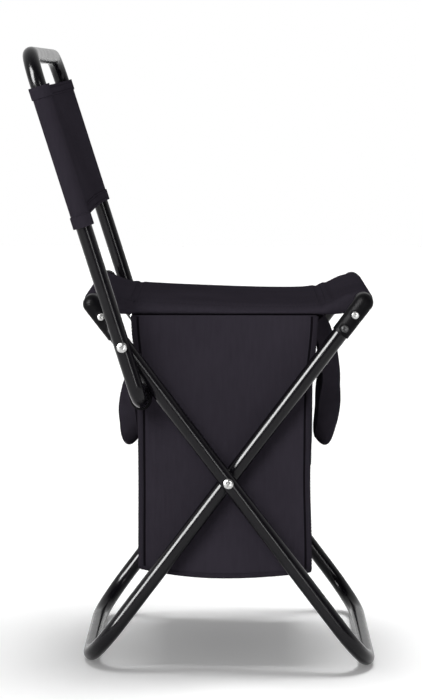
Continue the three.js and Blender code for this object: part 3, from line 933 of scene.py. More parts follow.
pivotDrop = 50.3
buildPivots("cross", 0, legs["innerSide"], legs["outerSide"])
buildPivots("backrest", legAbove - pivotDrop, legs["outerSide"], backrest["armSide"])


def buildStopCap(sideWord, sign):
    bm = bmesh.new()
    inner = backrest["armSide"] - backrest["stubReach"] - backrest["capEnd"]
    outer = backrest["armSide"] - backrest["stubBend"]
    radius, tube = backrest["capRadius"], legs["tubeRadius"] + backrest["capFit"]
    turned(bm, [
        (0, inner),
        (radius - 2.5, inner),
        (radius - 0.8, inner + 0.7),
        (radius, inner + 2.2),
        (radius, outer - 1),
        (radius - 0.8, outer),
        (tube, outer),
        (tube, inner + backrest["capEnd"]),
        (0, inner + backrest["capEnd"]),
    ], 40)
    bm.transform(backStand @ Matrix.Translation((0, 0, -backrest["stubDrop"])) @ facingOut(sign))
    piece = finishPiece(f"stopCap{sideWord.capitalize()}", bm, [plastic], 30)
    settle(piece, "backrest", "fitting_plastic", f"stop_cap_{sideWord}")


for sideWord, sign in sides.items():
    buildStopCap(sideWord, sign)
print("fittings ready")

# Back panel: a cloth sleeve over both arms, drawn thin and slack between them
panel = {
    "start": 127.0,
    "length": 141.0,
    "topSkew": 1.5,
    "bottomSkew": 3.5,
    "hem": 12.0,
    "hemProud": 1.1,
    "sleeve": 9.6,
    "middle": 1.5,
    "slack": 6.0,
    "shoulder": 30.0,
    "fold": 1.1,
    "wall": 0.8,
    "rows": (3.0, 9.5),
    "cut": (0.745, 0.165),
}


def panelOutline():
    arm, sleeve = backrest["armSide"], panel["sleeve"]
    flat = arm - panel["shoulder"]
    face = [Vector((panel["middle"], y, 0)) for y in spaced(-flat, flat, 32)]
    cap = [Vector((x, y, 0)) for x, y in arcRound((0, arm), sleeve, 0, math.pi, 14)]
    half = face + cap
    return half + [Vector((-p.x, -p.y, 0)) for p in half]


def slackAt(y):
    share = min(1.0, abs(y) / (backrest["armSide"] - panel["shoulder"]))
    return panel["slack"] * (1 - share * share)


def buildBackPanel():
    bm = bmesh.new()
    _, edges = closedRing(bm, panelOutline())
    length, hem = panel["length"], panel["hem"]
    main = spaced(hem, length - hem, 16)[1:-1]
    stations = [0.5, hem - 0.5, hem, *main, length - hem, length - hem + 0.5, length - 0.5, length]
    pullThrough(bm, edges, Vector((0, 0, 1)), stations)
    bmesh.ops.recalc_face_normals(bm, faces=bm.faces)
    tip = max(bm.faces, key=lambda f: f.calc_center_median().y)
    if tip.normal.y < 0:
        bmesh.ops.reverse_faces(bm, faces=bm.faces[:])
    boxUnwrap(bm)
    for v in bm.verts:
        drawPanel(v)
    thicken(bm, panel["wall"], -1)
    for level in (*panel["rows"], *[length - row for row in reversed(panel["rows"])]):
        for face in (1, -1):
            reach = backrest["armSide"] - 6
            row = [Vector((0, y, level)) for y in spaced(-reach, reach, 40)]
            sewRow(bm, [panelPoint(p, face) for p in row], Vector((face, 0, 0)))
    for v in bm.verts:
        skewPanel(v)
    bm.transform(backStand @ Matrix.Translation((0, 0, panel["start"])))
    piece = finishPiece("backPanel", bm, [cloth, thread], 50, tidy=False)
    settle(piece, "backrest", "seat_fabric", "back_panel")


def hemAt(z):
    edge = min(z, panel["length"] - z)
    return panel["hemProud"] if edge < panel["hem"] - 0.25 else 0.0


def panelPoint(point, face):
    # a place on the front or rear sheet of the drawn panel
    arm, sleeve, flat = backrest["armSide"], panel["sleeve"], backrest["armSide"] - panel["shoulder"]
    y = abs(point.y)
    if y <= flat:
        half = panel["middle"]
    else:
        half = panel["middle"] + (sleeve - panel["middle"]) * (y - flat) / (arm - flat)
    x = face * (half + hemAt(point.z) + 0.15) - slackAt(point.y) + foldAt(point)
    return Vector((x, point.y, point.z))


def foldAt(point):
    # shallow upright folds that fade towards the hems
    share = math.sin(math.pi * min(1.0, max(0.0, point.z / panel["length"])))
    wave = math.sin(point.y / 23.0) + 0.6 * math.sin(point.y / 11.0 + 1.3 + point.z / 60)
    return panel["fold"] * share * wave * (1 if abs(point.y) < backrest["armSide"] - panel["shoulder"] else 0)


def drawPanel(v):
    arm = backrest["armSide"]
    grow = hemAt(v.co.z)
    if abs(v.co.y) > arm:
        out = Vector((v.co.x, abs(v.co.y) - arm, 0)).normalized() * grow
        v.co.x += out.x
        v.co.y += math.copysign(out.y, v.co.y)
    else:
        v.co.x += math.copysign(grow, v.co.x)
        v.co.x += foldAt(v.co) - slackAt(v.co.y)


def skewPanel(v):
    # the sleeve has crept a little up the far arm and down the near one
    share = v.co.z / panel["length"]
    skew = panel["bottomSkew"] + (panel["topSkew"] - panel["bottomSkew"]) * share
    v.co.z += v.co.y / backrest["armSide"] * skew


buildBackPanel()
print("back panel ready")

# Seat: one padded cloth round both bars, with sewn lines over the bag's edges
seat = {
    "halfWidth": 115.2,
    "sleeve": 10.6,
    "under": 359.6,
    "rearTop": [(-121, 380.6), (-110, 376.8), (-97, 373.4), (-72, 371.4), (-45, 370.0)],
    "frontTop": [(0, 368.0), (51, 367.0), (86, 368.2), (104, 373.4), (112.5, 377.8), (121, 381.5)],
    "underTip": 112.0,
    "crown": 2.2,
    "flatHalf": 112.0,
    "edgeRound": 7.0,
    "rollFade": (108, 119),
    "thinnest": 0.12,
    "gripFade": (102, 112),
    "seams": (-95.0, 94.0),
    "seamDepth": 1.3,
    "seamWidth": 2.4,
    "seamRows": 3.4,
    "rowEnd": 3.0,
    "sideRow": 8.0,
    "sideReach": 116.0,
    "voxel": 4.0,
    "pressure": 4.0,
    "swell": 2.6,
}


def seatOutline():
    # goes round from under the rear bar, along the underside, round the front bar and back along the top
    bar, height, sleeve = legs["barHalfSpan"], legs["barHeight"], seat["sleeve"]
    quarter = math.pi / 2
    low, tip = seat["under"], seat["underTip"]
    under = [(-tip, low + 0.6), *[(x, low) for x in (-92, -45, 0, 45, 92)], (tip, low + 0.6)]
    front = arcRound((bar, height), sleeve, -quarter * 1.05, quarter * 1.25, 18)
    rear = arcRound((-bar, height), sleeve, quarter * 0.75, quarter * 3.05, 18)
    top = list(reversed(seat["frontTop"])) + list(reversed(seat["rearTop"]))
    return [Vector((x, 0, z)) for x, z in under + front + top + rear]


def smoothLoop(points, spacing):
    # a closed round line through the points
    found = []
    count = len(points)
    for i in range(count):
        a, b, c, d = (points[(i + k) % count] for k in (-1, 0, 1, 2))
        steps = max(1, round((c - b).length / spacing))
        for k in range(steps):
            found.append(curvePoint(a, b, c, d, k / steps))
    return found


def curvePoint(a, b, c, d, t):
    square = 2 * a - 5 * b + 4 * c - d
    cube = 3 * b - 3 * c + d - a
    return 0.5 * (2 * b + (c - a) * t + square * t * t + cube * t ** 3)


def seatShape(co):
    edge = co.y / seat["halfWidth"]
    flat = max(0.0, 1 - (co.x / seat["flatHalf"]) ** 2)
    top = seatTopAt(co.x)
    if co.z > top - 2:
        co.z += seat["crown"] * (1 - edge * edge) * flat
        co.z += 0.5 * math.sin(co.x / 17 + 2.2 * edge) * flat * (1 - abs(edge))
    # the long sides are rolled, the sleeve ends stay open round the bars
    middle = (seat["under"] + top) / 2
    inward = min(1.0, (seat["halfWidth"] - abs(co.y)) / seat["edgeRound"])
    thin = math.sqrt(max(0.0, 1 - (1 - inward) ** 2))
    start, end = seat["rollFade"]
    rolled = smoothStep(-abs(co.x), -end, -start)
    co.z = middle + (co.z - middle) * (1 - rolled * (1 - max(seat["thinnest"], thin)))


def buildSeat():
    bm = bmesh.new()
    verts, edges = closedRing(bm, smoothLoop(seatOutline(), 4.5))
    half = seat["halfWidth"]
    bmesh.ops.translate(bm, verts=verts, vec=(0, -half, 0))
    rolls = [0.15, 0.6, 1.3, 2.3, 3.6, 5.2, seat["edgeRound"]]
    stations = rolls + spaced(seat["edgeRound"], 2 * half - seat["edgeRound"], 38)[1:]
    stations += [2 * half - roll for roll in reversed(rolls[:-1])] + [2 * half]
    pullThrough(bm, edges, Vector((0, 1, 0)), stations)
    bmesh.ops.holes_fill(bm, edges=[e for e in bm.edges if e.is_boundary], sides=0)
    bmesh.ops.recalc_face_normals(bm, faces=bm.faces)
    for v in bm.verts:
        seatShape(v.co)
    fillOut(bm)
    sewSeat(bm)
    bm.transform(Matrix.Translation((crossing.x, 0, 0)))
    piece = finishPiece("seatCloth", bm, [cloth, thread], 55, tidy=False)
    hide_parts("seat_pad", "rear_seat_sleeve", "front_seat_sleeve")
    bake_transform(piece)


def seatTopAt(x):
    line = seat["rearTop"] + seat["frontTop"]
    for (x0, z0), (x1, z1) in zip(line, line[1:]):
        if x0 <= x <= x1:
            return z0 + (z1 - z0) * (x - x0) / (x1 - x0)
    return line[-1][1]


def heldShare(p):
    # the sleeves grip the bars and the underside lies on the bag
    gripped = smoothStep(abs(p.x), *seat["gripFade"])
    return max(gripped, 1 - smoothStep(p.z, seat["under"] + 1.5, seat["under"] + 5))


def fillOut(bm):
    # cloth simulation: the pad swells a little under its filling, no point further than the swell
    bmesh.ops.scale(bm, verts=bm.verts, vec=(mm, mm, mm))
    pad = lendOut(bm, "pad")
    addVoxelSkin(pad, seat["voxel"] * mm)
    bake(pad)
    swellPad(pad)
    soft = pad.modifiers.new("soft", "SUBSURF")
    soft.levels = soft.render_levels = 1
    takeBack(bm, pad)
    bmesh.ops.scale(bm, verts=bm.verts, vec=(1 / mm, 1 / mm, 1 / mm))


def swellPad(pad):
    start = [v.co.copy() for v in pad.data.vertices]
    held = pad.vertex_groups.new(name="held")
    for v in pad.data.vertices:
        held.add([v.index], heldShare(v.co / mm), "REPLACE")
    swell = pad.modifiers.new("swell", "CLOTH")
    swell.settings.vertex_group_mass = "held"
    swell.settings.use_pressure = True
    swell.settings.uniform_pressure_force = seat["pressure"]
    swell.settings.effector_weights.gravity = 0
    for moment in range(1, 21):
        scene.frame_set(moment)
    bake(pad)
    scene.frame_set(1)
    most = seat["swell"] * mm
    furthest = 0.0
    for v, place in zip(pad.data.vertices, start):
        move = v.co - place
        furthest = max(furthest, move.length)
        if move.length > most:
            v.co = place + move.normalized() * most
    print("seat swelled by up to", round(furthest / mm, 2), "mm before the cap")


def sewSeat(bm):
    bm.normal_update()
    for v in bm.verts:
        for place in seat["seams"]:
            if v.normal.z > 0.2:
                v.co.z -= seat["seamDepth"] * math.exp(-((v.co.x - place) / seat["seamWidth"]) ** 2)
    boxUnwrap(bm)
    skin = BVHTree.FromBMesh(bm)
    half = seat["halfWidth"]
    end, reach = half - seat["rowEnd"], seat["sideReach"]
    rows = [[(place + sign * seat["seamRows"], y) for y in spaced(-end, end, 60)]
            for place in seat["seams"] for sign in (-1, 1)]
    rows += [[(x, sign * (half - seat["sideRow"])) for x in spaced(-reach, reach, 60)] for sign in (-1, 1)]
    for row in rows:
        hits = [skin.ray_cast(Vector((x, y, 420)), Vector((0, 0, -1)))[0] for x, y in row]
        sewRow(bm, [h for h in hits if h], Vector((0, 0, 1)))


buildSeat()
print("seat ready")

# Bag: layers of one soft box, all drawn in and sagging alike
bag = {
    "centre": crossing.x - 3.5,
    "halfWidth": 114.2,
    "topHalfDepth": 88.5,
    "bottomHalfDepth": 87.0,
    "floor": 92.5,
    "top": 359.2,
    "corner": 5.0,
    "frontFlare": 4.2,
    "rearFlare": 5.2,
    "flareFrom": 0.72,
    "frontPinch": 2.4,
    "rearPinch": 0.8,
    "pinchIn": (0.05, 0.4),
    "pinchOut": (0.6, 0.95),
    "rearLift": 7.0,
    "frontLift": 3.5,
    "billow": 3.2,
    "shell": 1.5,
    "board": 2.5,
    "foam": 5.0,
    "film": 0.8,
    "gap": 0.3,
}
flap = {
    "height": 142.7,
    "halfWidth": 88.0,
    "corner": 12.0,
    "thickness": 1.5,
    "overlap": 4.0,
    "lining": 7.6,
    "liningSunk": 0.15,
    "liningEdge": 2.4,
    "liningGap": 0.8,
    "seams": (-3.0, -8.0),
    "lift": 0.35,
    "puff": 2.2,
    "puffFade": 26.0,
}
tape = {
    "width": 11.0,
    "gap": 0.3,
    "wall": 0.7,
    "rows": [0.2, 2.8, 3.1, 8.2, 8.5, 11.1],
    "lifts": [0.25, 0.7, 0.75, 0.75, 0.7, 0.25],
    "stations": 150,
    "seams": (1.3, 10.0),
    "seamLift": 1.4,
}
tooth = {"pitch": 2.1, "size": (1.6, 0.8, 1.0), "aside": 1.15, "lift": 1.75, "stagger": 0.5}
bagTall = bag["top"] - bag["floor"]
faceTilt = math.atan2(bag["topHalfDepth"] - bag["bottomHalfDepth"], bagTall)
faceStand = Matrix.Translation(jointAt["flap_open"]) @ Matrix.Rotation(faceTilt, 4, "Y")


def halfDepth(z):
    share = (z - bag["floor"]) / bagTall
    return bag["bottomHalfDepth"] + (bag["topHalfDepth"] - bag["bottomHalfDepth"]) * share


def pinched(share):
    return smoothStep(share, *bag["pinchIn"]) * (1 - smoothStep(share, *bag["pinchOut"]))


def rearShift(share):
    return bag["rearFlare"] * smoothStep(share, bag["flareFrom"], 1.0) - bag["rearPinch"] * pinched(share)


def frontShift(share, across):
    # the face stays straight where the zip runs, the corners beside it spread towards the seat
    corner = bag["frontPinch"] * pinched(share)
    corner -= bag["frontFlare"] * smoothStep(share, bag["flareFrom"], 1.0)
    face = bag["frontPinch"] * smoothStep(share, 0.12, 0.36) * (1 - smoothStep(share, 0.92, 1.0))
    return -face - (corner - face) * smoothStep(abs(across), 0.88, 0.98)


def drape(co):
    x = co.x - bag["centre"]
    share = min(1.0, max(0.0, (co.z - bag["floor"]) / bagTall))
    depth = x / halfDepth(co.z)
    across = co.y / bag["halfWidth"]
    belly = math.sin(math.pi * share)
    co.x += depth * (rearShift(share) if x < 0 else frontShift(share, across))
    co.y += bag["billow"] * across * belly * max(0.0, 1 - depth * depth)
    co.y += 0.5 * across * math.sin(co.z / 31 + x / 40) * max(0.0, 1 - depth * depth)
    lift = bag["rearLift"] if x < 0 else bag["frontLift"]
    low = (1 - share) ** 6
    co.z += low * (lift * min(1.0, depth * depth) - 1.0)
    co.z += low * 3.0 * min(1.0, across * across) * min(1.0, depth * depth)


def softBox(inset, floorInset, lid, corner):
    bm = bmesh.new()
    floor, top = bag["floor"] + floorInset, bag["top"] - lid
    half = bag["halfWidth"] - inset
    for v in bmesh.ops.create_cube(bm, size=2)["verts"]:
        z = floor if v.co.z < 0 else top
        v.co = Vector((bag["centre"] + v.co.x * (halfDepth(z) - inset), v.co.y * half, z))
    edges = [e for e in bm.edges if min(v.co.z for v in e.verts) < top - 1]
    rounded(bm, edges, corner, 3)
    return bm


def cutDoorway(bm):
    hinge = jointAt["flap_open"]
    half, low = flap["halfWidth"] - flap["overlap"], hinge.z + flap["overlap"]
    high = hinge.z + flap["height"] - flap["overlap"]
    for place, normal in (((0, half, 0), (0, 1, 0)), ((0, -half, 0), (0, 1, 0)),
                          ((0, 0, low), (0, 0, 1)), ((0, 0, high), (0, 0, 1))):
        bmesh.ops.bisect_plane(bm, geom=wholeOf(bm), dist=0.0001, plane_co=place, plane_no=normal)
    gone = []
    for face in bm.faces:
        spot = face.calc_center_median()
        if face.normal.x > 0.7 and abs(spot.y) < half and low < spot.z < high:
            gone.append(face)
    bmesh.ops.delete(bm, geom=gone, context="FACES")


def buildBagLayer(name, inset, floorInset, lid, corner, wall, material, slot, node, step):
    bm = softBox(inset, floorInset, lid, corner)
    deep = bag["topHalfDepth"]
    sliceUp(bm, 0, bag["centre"] - deep, bag["centre"] + deep, step)
    sliceUp(bm, 1, -bag["halfWidth"], bag["halfWidth"], step)
    sliceUp(bm, 2, bag["floor"], bag["top"], step)
    cutDoorway(bm)
    boxUnwrap(bm)
    for v in bm.verts:
        drape(v.co)
    piece = finishPiece(name, bm, [material], 50)
    solidified(piece, wall * mm)
    settle(piece, "cooler", slot, node)


foamInset = bag["shell"] + bag["gap"]
foamFloor = bag["shell"] + bag["board"] + 2 * bag["gap"]
filmInset = foamInset + bag["foam"] + bag["gap"]
filmFloor = foamFloor + bag["foam"] + bag["gap"]
buildBagLayer("bagShell", 0, 0, 0, bag["corner"], bag["shell"], cloth, "seat_fabric", "bag_shell", 6.5)
buildBagLayer("bagFoam", foamInset, foamFloor, 2.0, 3.5, bag["foam"], foam, "foam", "bag_insulation", 12)
buildBagLayer("bagFilm", filmInset, filmFloor, 8.0, 3.0, bag["film"], film, "liner_film", "bag_liner", 10)


def buildBoard():
    bm = bmesh.new()
    inset, low = bag["shell"] + 2 * bag["gap"], bag["floor"] + bag["shell"] + bag["gap"]
    deep, half = bag["bottomHalfDepth"] - inset - 2, bag["halfWidth"] - inset - 2
    size = Matrix.Diagonal((2 * deep, 2 * half, bag["board"], 1))
    stand = Matrix.Translation((bag["centre"], 0, low + bag["board"] / 2))
    bmesh.ops.create_cube(bm, size=1, matrix=stand @ size)
    upright = [e for e in bm.edges if abs(e.verts[0].co.z - e.verts[1].co.z) > 1]
    rounded(bm, upright, 9, 5)
    sliceUp(bm, 0, bag["centre"] - deep, bag["centre"] + deep, 16)
    sliceUp(bm, 1, -half, half, 16)
    for v in bm.verts:
        drape(v.co)
    settle(finishPiece("baseBoard", bm, [board], 30), "cooler", "base_board", "bag_base_board")


buildBoard()

# gap is the width of the near-black strip that paints the groove's shade beside the upright tapes
binding = {"width": 3.2, "proud": 0.9, "gap": 2.2, "inner": 1.2, "sunk": 0.4}


def buildBindings():
    # tape folded over the upright corners and round the floor seam
    bm = bmesh.new()
    inner = binding["inner"]
    for signX in (-1, 1):
        for signY in (-1, 1):
            line = []
            for z in spaced(bag["floor"] + 3, bag["top"] - 1, 40):
                x = bag["centre"] + signX * (halfDepth(z) - inner)
                line.append(Vector((x, signY * (bag["halfWidth"] - inner), z)))
            addBinding(bm, line, Vector((0, signY, 0)), Vector((signX, 0, 0)), True)
    z = bag["floor"] + inner
    deep, half = halfDepth(z) - inner, bag["halfWidth"] - inner
    for signY in (-1, 1):
        line = [Vector((bag["centre"] + x, signY * half, z)) for x in spaced(-deep, deep, 40)]
        addBinding(bm, line, Vector((0, signY, 0)), Vector((0, 0, -1)), False)
    for signX in (-1, 1):
        line = [Vector((bag["centre"] + signX * deep, y, z)) for y in spaced(-half, half, 40)]
        addBinding(bm, line, Vector((signX, 0, 0)), Vector((0, 0, -1)), False)
    piece = finishPiece("bagBinding", bm, [trim, thread, paintedSeamShade], 50, tidy=False)
    settle(piece, "cooler", "seat_fabric")


def addBinding(bm, line, firstWay, secondWay, seamShaded):
    # a rounded strip bent over an edge: its section is walked from one face round to the other
    width, proud, inner = binding["width"], binding["proud"], binding["inner"]
    section = [(-width, 0.2), (-width, 0.7), (-width + 0.5, 1.0), (-1.2, 1.0)]
    outline = [firstWay * (inner + h * proud) + secondWay * w for w, h in section]
    outline += [firstWay * (inner + 0.75 * proud) + secondWay * (inner - 0.5),
                firstWay * (inner - 0.5) + secondWay * (inner + 0.75 * proud)]
    outline += [secondWay * (inner + h * proud) + firstWay * w for w, h in reversed(section)]
    outline.append((firstWay + secondWay) * (inner - binding["sunk"]))
    made = pullAlong(bm, outline, line)
    # beside the upright tapes a sunk near-black strip is drawn: painted shade of the groove where the tape
    # meets the panel
    if seamShaded:
        far = width + binding["gap"]
        near, high, low = width + 0.05, 0.18, -binding["sunk"]
        corners = [(far, high), (near, high), (near, low), (far, low)]
        shadow = pullAlong(bm, [firstWay * (inner + h) - secondWay * w for w, h in corners], line)
        for face in {f for v in shadow for f in v.link_faces}:
            face.material_index = 2
        made += shadow
    boxUnwrap(bm)
    for v in made:
        drape(v.co)
    for way, other in ((firstWay, secondWay), (secondWay, firstWay)):
        row = [p + way * (inner + proud + 0.1) - other * (width - 1.2) for p in line]
        for p in row:
            drape(p)
        sewRow(bm, row, way)


def pullAlong(bm, outline, line):
    # a closed section drawn along a line, without turning, and capped at both ends
    made, edges = closedRing(bm, [line[0] + p for p in outline])
    bm.faces.new(made)
    for a, b in zip(line, line[1:]):
        edges, moved = pushOn(bm, edges, b - a)
        made += moved
    bmesh.ops.edgeloop_fill(bm, edges=edges)
    bmesh.ops.recalc_face_normals(bm, faces=list({f for v in made for f in v.link_faces}))
    return made


def turnOutward(bm, faces, way):
    # an open sheet is turned to face that way
    lean = sum((f.normal.dot(way) * f.calc_area() for f in faces), 0.0)
    if lean < 0:
        bmesh.ops.reverse_faces(bm, faces=faces)


buildBindings()
print("bag ready")


# Front flap and its zip: built on the face, x out of it and z up from the hinge, then draped with the bag
def placeOnFace(bm):
    for v in bm.verts:
        v.co = faceStand @ v.co
        drape(v.co)


def archLine(grow, count=120):
    half, top, corner = flap["halfWidth"] + grow, flap["height"] + grow, flap["corner"] + grow
    line = [Vector((0, half, 0))]
    for sign, turn in ((1, 0.0), (-1, math.pi / 2)):
        centre = (sign * (half - corner), top - corner)
        line += [Vector((0, y, z)) for y, z in arcRound(centre, corner, turn, turn + math.pi / 2, 12)]
    line.append(Vector((0, -half, 0)))
    return along(line, count)


def buildFlap():
    bm = bmesh.new()
    outline = archLine(0, 160)
    face = bm.faces.new([bm.verts.new(p) for p in outline])
    face.normal_update()
    if face.normal.x < 0:
        bmesh.ops.reverse_faces(bm, faces=[face])
    sliceUp(bm, 1, -flap["halfWidth"], flap["halfWidth"], 8)
    sliceUp(bm, 2, 0, flap["height"], 8)
    for v in bm.verts:
        v.co.x = flapRise(v.co)
    boxUnwrap(bm)
    thicken(bm, flap["thickness"], 1)
    for grow in flap["seams"]:
        row = archLine(grow, 100)
        for p in row:
            p.x = flapRise(p) + flap["thickness"]
        sewRow(bm, row, Vector((1, 0, 0)))
    placeOnFace(bm)
    piece = finishPiece("frontFlap", bm, [cloth, thread], 50, tidy=False)
    settle(piece, "flap", "seat_fabric", "front_flap")


def flapRise(p):
    edge = min(flap["halfWidth"] - abs(p.y), flap["height"] - p.z, p.z + 3)
    return flap["lift"] + flap["puff"] * smoothStep(edge, 0, flap["puffFade"])


def buildFlapLining():
    bm = bmesh.new()
    edge = flap["overlap"] + flap["liningGap"]
    half = flap["halfWidth"] - edge
    tall = flap["height"] - 2 * edge
    thick = flap["lining"]
    size = (thick, 2 * half, tall)
    roundedBlock(bm, size, (-flap["liningSunk"] - thick / 2, 0, edge + tall / 2), flap["liningEdge"])
    sliceUp(bm, 1, -half, half, 14)
    sliceUp(bm, 2, edge, edge + tall, 14)
    for v in bm.verts:
        if v.co.x < -4:
            v.co.x += 0.5 * math.sin(v.co.y / 19) * math.sin(v.co.z / 23)
    placeOnFace(bm)
    settle(finishPiece("flapLining", bm, [film], 50), "flap", "liner_film", "flap_insulation")


def buildZipTape():
    bm = bmesh.new()
    rows, count = tape["rows"], tape["stations"]
    bmesh.ops.create_grid(bm, x_segments=len(rows) - 1, y_segments=count - 1, size=1)
    lines = [archLine(grow, count) for grow in rows]
    for v in bm.verts:
        i = round((v.co.x + 1) / 2 * (len(rows) - 1))
        k = round((v.co.y + 1) / 2 * (count - 1))
        v.co = Vector((tape["lifts"][i], lines[i][k].y, lines[i][k].z))
    bm.normal_update()
    turnOutward(bm, bm.faces[:], Vector((1, 0, 0)))
    boxUnwrap(bm)
    thicken(bm, tape["wall"], 1)
    for grow in tape["seams"]:
        sewRow(bm, [Vector((tape["seamLift"], p.y, p.z)) for p in archLine(grow)], Vector((1, 0, 0)))
    total = 2 * flap["height"] + 2 * flap["halfWidth"]
    run = archLine(tape["width"] / 2 + tape["gap"], round(total / tooth["pitch"]))
    teeth = bmesh.new()
    for a, b in zip(run, run[1:]):
        addTooth(teeth, (a + b) / 2, (b - a).normalized())
    for face in teeth.faces:
        face.material_index = 2
    joinTo(bm, teeth)
    placeOnFace(bm)
    piece = finishPiece("zipTape", bm, [trim, thread, plastic], 50, tidy=False)
    settle(piece, "cooler", "webbing", "zip_tape")


def addTooth(bm, place, run):
    # one turn of the coil on each side of the chain
    out = Vector((1, 0, 0))
    side = out.cross(run)
    for sign in (-1, 1):
        turn = Matrix((side * sign, run, out)).transposed()
        if turn.determinant() < 0:
            turn = Matrix((side * sign, -run, out)).transposed()
        spot = place + side * sign * tooth["aside"] + out * tooth["lift"] + run * tooth["stagger"] * sign
        stand = Matrix.Translation(spot)
        size = Matrix.Diagonal((*tooth["size"], 1))
        bmesh.ops.create_icosphere(bm, subdivisions=1, radius=1, matrix=stand @ turn.to_4x4() @ size)


slider = {
    "width": 9.0,
    "length": 10.0,
    "rest": 8.0,
    "roof": 3.2,
    "wall": 1.2,
    "bridge": 0.75,
    "pull": 22.0,
    "pullWidth": 8.0,
    "pullThick": 1.2,
}
chainMiddle = flap["halfWidth"] + tape["gap"] + tape["width"] / 2


def roundedBlock(bm, size, place, edge, segments=3):
    stand = Matrix.Translation(place) @ Matrix.Diagonal((*size, 1))
    verts = bmesh.ops.create_cube(bm, size=1, matrix=stand)["verts"]
    edges = list({e for v in verts for e in v.link_edges})
    rounded(bm, edges, edge, segments)


def buildSlider():
    bm = bmesh.new()
    top = slider["roof"] + slider["wall"] / 2
    roundedBlock(bm, (slider["wall"], slider["width"], slider["length"]), (top, 0, 0), 0.5)
    for sign in (-1, 1):
        rail = (top - 1.0, sign * (slider["width"] / 2 - 0.7), 0)
        roundedBlock(bm, (1.4, 1.2, slider["length"] - 2), rail, 0.35)
    face = slider["roof"] + slider["wall"]
    sweptTube(bm, slider["bridge"], (face - 0.4, 0, -3.6), (1, 0, 0), [
        {"run": 1.0},
        {"bend": 1.4, "toward": (0, 0, 1)},
        {"run": 4.4},
        {"bend": 1.4, "toward": (-1, 0, 0)},
        {"run": 1.0},
    ], 14, 6)
    bm.transform(Matrix.Translation((0, chainMiddle, slider["rest"])))
    placeOnFace(bm)
    settle(finishPiece("zipSlider", bm, [darkSteel], 35), "zip_slider", "fastener_steel", "zip_slider")


def buildPull():
    bm = bmesh.new()
    long, wide = slider["pull"], slider["pullWidth"]
    thick = slider["pullThick"]
    roundedBlock(bm, (thick, wide, long), (0, 0, thick / 2 - long / 2), 0.5)
    tool = bmesh.new()
    roundedBlock(tool, (4, wide - 2.8, 6.4), (0, 0, -3.9), 1.2)
    cutAway(bm, tool)
    roundedBlock(bm, (1.9, wide - 2.6, 9.5), (0, 0, -long + 6.6), 0.6)
    axis = jointAt["zip_pull_swing"]
    bm.transform(Matrix.Translation(axis) @ Matrix.Rotation(faceTilt, 4, "Y"))
    settle(finishPiece("zipPull", bm, [darkSteel], 35), "zip_pull", "fastener_steel", "zip_pull")


buildFlap()
buildFlapLining()
buildZipTape()
buildSlider()
buildPull()
print("flap and zip ready")

# Handles: webbing loops that leave the bag flat and twist edge-out round the bottom
handle = {
    "width": 25.0,
    "thick": 2.0,
    "halfSpan": 46.0,
    "drop": 121.0,
    "crown": 11.0,
    "fold": 0.25,
    "bendOver": 38.0,
    "standOff": 1.3,
    "halfLoop": 190.0,
}
tab = {"tall": 20.0, "above": 2.0, "thick": 1.4, "out": 0.9, "seam": 2.2, "seamOut": 1.72, "pitch": 2.6}

# knots of half a loop as shares of (bulge, half span, drop), and how far the band has turned along it
frontHang = {
    "bulge": 19.6,
    "lean": 0.15,
    "root": [(0.2, 1, -0.03), (0.42, 1, 0.05), (0.72, 1, 0.2), (0.9, 1, 0.42)],
    "rounding": [(0.88, 1, 0.56), (0.8, 0.93, 0.77), (0.66, 0.62, 0.94)],
    "lowest": (0.64, 0, 1),
    "turns": [(0, 0.5), (0.06, 0.8), (0.12, 0.8), (0.2, 0.85), (0.3, 1.2), (0.5, 1.25)],
}
rearHang = {
    "bulge": 11.4,
    "lean": 0.15,
    "root": [(0, 1, 0), (0, 1, 0.08), (0.1, 1, 0.17), (0.75, 1, 0.36)],
    "rounding": [(1, 1, 0.55), (1, 0.93, 0.77), (0.9, 0.62, 0.94)],
    "lowest": (0.9, 0, 1),
    "turns": [(0, 0), (0.12, 0), (0.34, 0.9), (0.5, 0.9)],
}


def turnedBy(hang, share):
    turns = hang["turns"]
    for (low, fromAngle), (high, toAngle) in zip(turns, turns[1:]):
        if share <= high:
            return fromAngle + (toAngle - fromAngle) * smoothStep(share, low, high)
    return turns[-1][1]


def handleKnot(hang, out, across, down):
    away = handle["standOff"] + out * hang["bulge"]
    return Vector((away, -across * handle["halfSpan"], -down * handle["drop"]))


def handleLine(hang, count):
    half = [handleKnot(hang, *knot) for knot in hang["root"] + hang["rounding"]]
    lowest = handleKnot(hang, *hang["lowest"])
    knots = half + [lowest] + [Vector((p.x, -p.y, p.z)) for p in reversed(half)]
    fine = []
    for i in range(len(knots) - 1):
        a, d = knots[max(0, i - 1)], knots[min(len(knots) - 1, i + 2)]
        fine += [curvePoint(a, knots[i], knots[i + 1], d, k / 16) for k in range(16)]
    return along(fine + [knots[-1]], count)


def bandPoint(hang, line, k, share, lift):
    # the band turns edge-out on its way down and folds lengthwise round the bottom
    nearest = min(k, len(line) - 1 - k) / (len(line) - 1)
    tangent = (line[min(k + 1, len(line) - 1)] - line[max(k - 1, 0)]).normalized()
    twist = turnedBy(hang, nearest)
    side = 1 if 2 * k < len(line) - 1 else -1
    edgeOut, lean = math.sin(twist), hang["lean"]
    across = Vector((edgeOut * math.cos(lean), side * math.cos(twist), edgeOut * math.sin(lean)))
    across = (across - tangent * across.dot(tangent)).normalized()
    crease = smoothStep(nearest, 0.25, 0.5)
    reach = handle["width"] / 2 * (1 - handle["fold"] * crease)
    crown = handle["crown"] * (1 - share * share) * crease
    return line[k] + across * (share * reach) - across.cross(tangent) * (crown - lift)


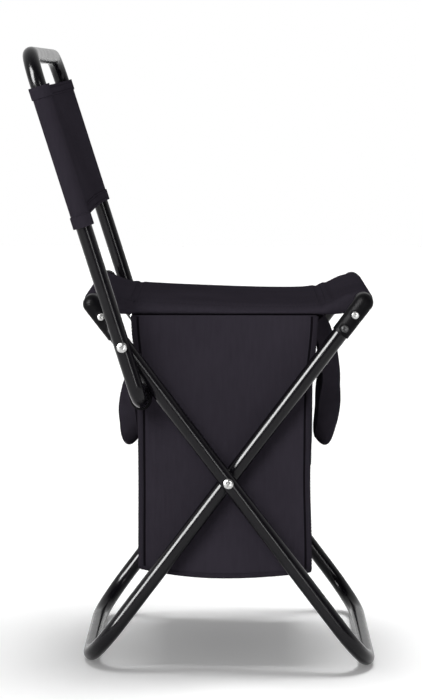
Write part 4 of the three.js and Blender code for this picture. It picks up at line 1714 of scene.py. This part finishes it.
def buildHandle(name, hang, stand, body):
    bm = bmesh.new()
    strips, steps = 10, 120
    bmesh.ops.create_grid(bm, x_segments=strips, y_segments=steps, size=1)
    layer = bm.loops.layers.uv.new("weave")
    for face in bm.faces:
        for loop in face.loops:
            spot = loop.vert.co
            loop[layer].uv = (spot.x * handle["width"] / 2 * mm, spot.y * handle["halfLoop"] * mm)
    line = handleLine(hang, steps + 1)
    for v in bm.verts:
        v.co = bandPoint(hang, line, round((v.co.y + 1) / 2 * steps), v.co.x, 0)
    thicken(bm, handle["thick"], 0)
    for share in (-0.82, 0.82):
        sewRow(bm, [bandPoint(hang, line, k, share, 1) for k in range(4, steps - 3)], Vector((1, 0, 0)))
    bm.transform(stand)
    piece = finishPiece(name, bm, [webbing, thread], 60, tidy=False)
    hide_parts(body)
    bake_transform(piece)


def buildHandleTabs(name, stand, body):
    # the sewn ends of the loop, boxed and crossed with stitches
    bm = bmesh.new()
    wide, tall = handle["width"], tab["tall"]
    for sign in (-1, 1):
        middle = Vector((tab["out"], sign * handle["halfSpan"], tab["above"] - tall / 2))
        roundedBlock(bm, (tab["thick"], wide, tall), middle, 0.5, 2)
        w, h = wide / 2 - tab["seam"], tall / 2 - tab["seam"]
        corners = [Vector((tab["seamOut"], middle.y + y, middle.z + z))
                   for y, z in ((-w, -h), (w, -h), (w, h), (-w, h))]
        for a, b in ((0, 1), (1, 2), (2, 3), (3, 0), (0, 2), (1, 3)):
            sewRow(bm, [corners[a], corners[b]], Vector((1, 0, 0)), tab["pitch"])
    boxUnwrap(bm)
    bm.transform(stand)
    piece = finishPiece(name, bm, [webbing, thread], 40, tidy=False)
    settle(piece, body, "webbing")


def handleStand(joint, turn, tilt):
    root = jointAt[joint].copy()
    root.x += -handle["standOff"] if turn == 0 else handle["standOff"]
    return Matrix.Translation(root) @ Matrix.Rotation(turn, 4, "Z") @ Matrix.Rotation(tilt, 4, "Y")


frontStand = handleStand("front_handle_swing", 0, faceTilt)
rearStand = handleStand("rear_handle_swing", math.pi, 0)
buildHandle("frontHandle", frontHang, frontStand, "front_handle")
buildHandle("rearHandle", rearHang, rearStand, "rear_handle")
buildHandleTabs("frontHandleTabs", frontStand @ Matrix.Translation((-1.1, 0, 0)), "flap")
buildHandleTabs("rearHandleTabs", rearStand @ Matrix.Translation((-0.3, 0, 0)), "cooler")
print("handles ready")
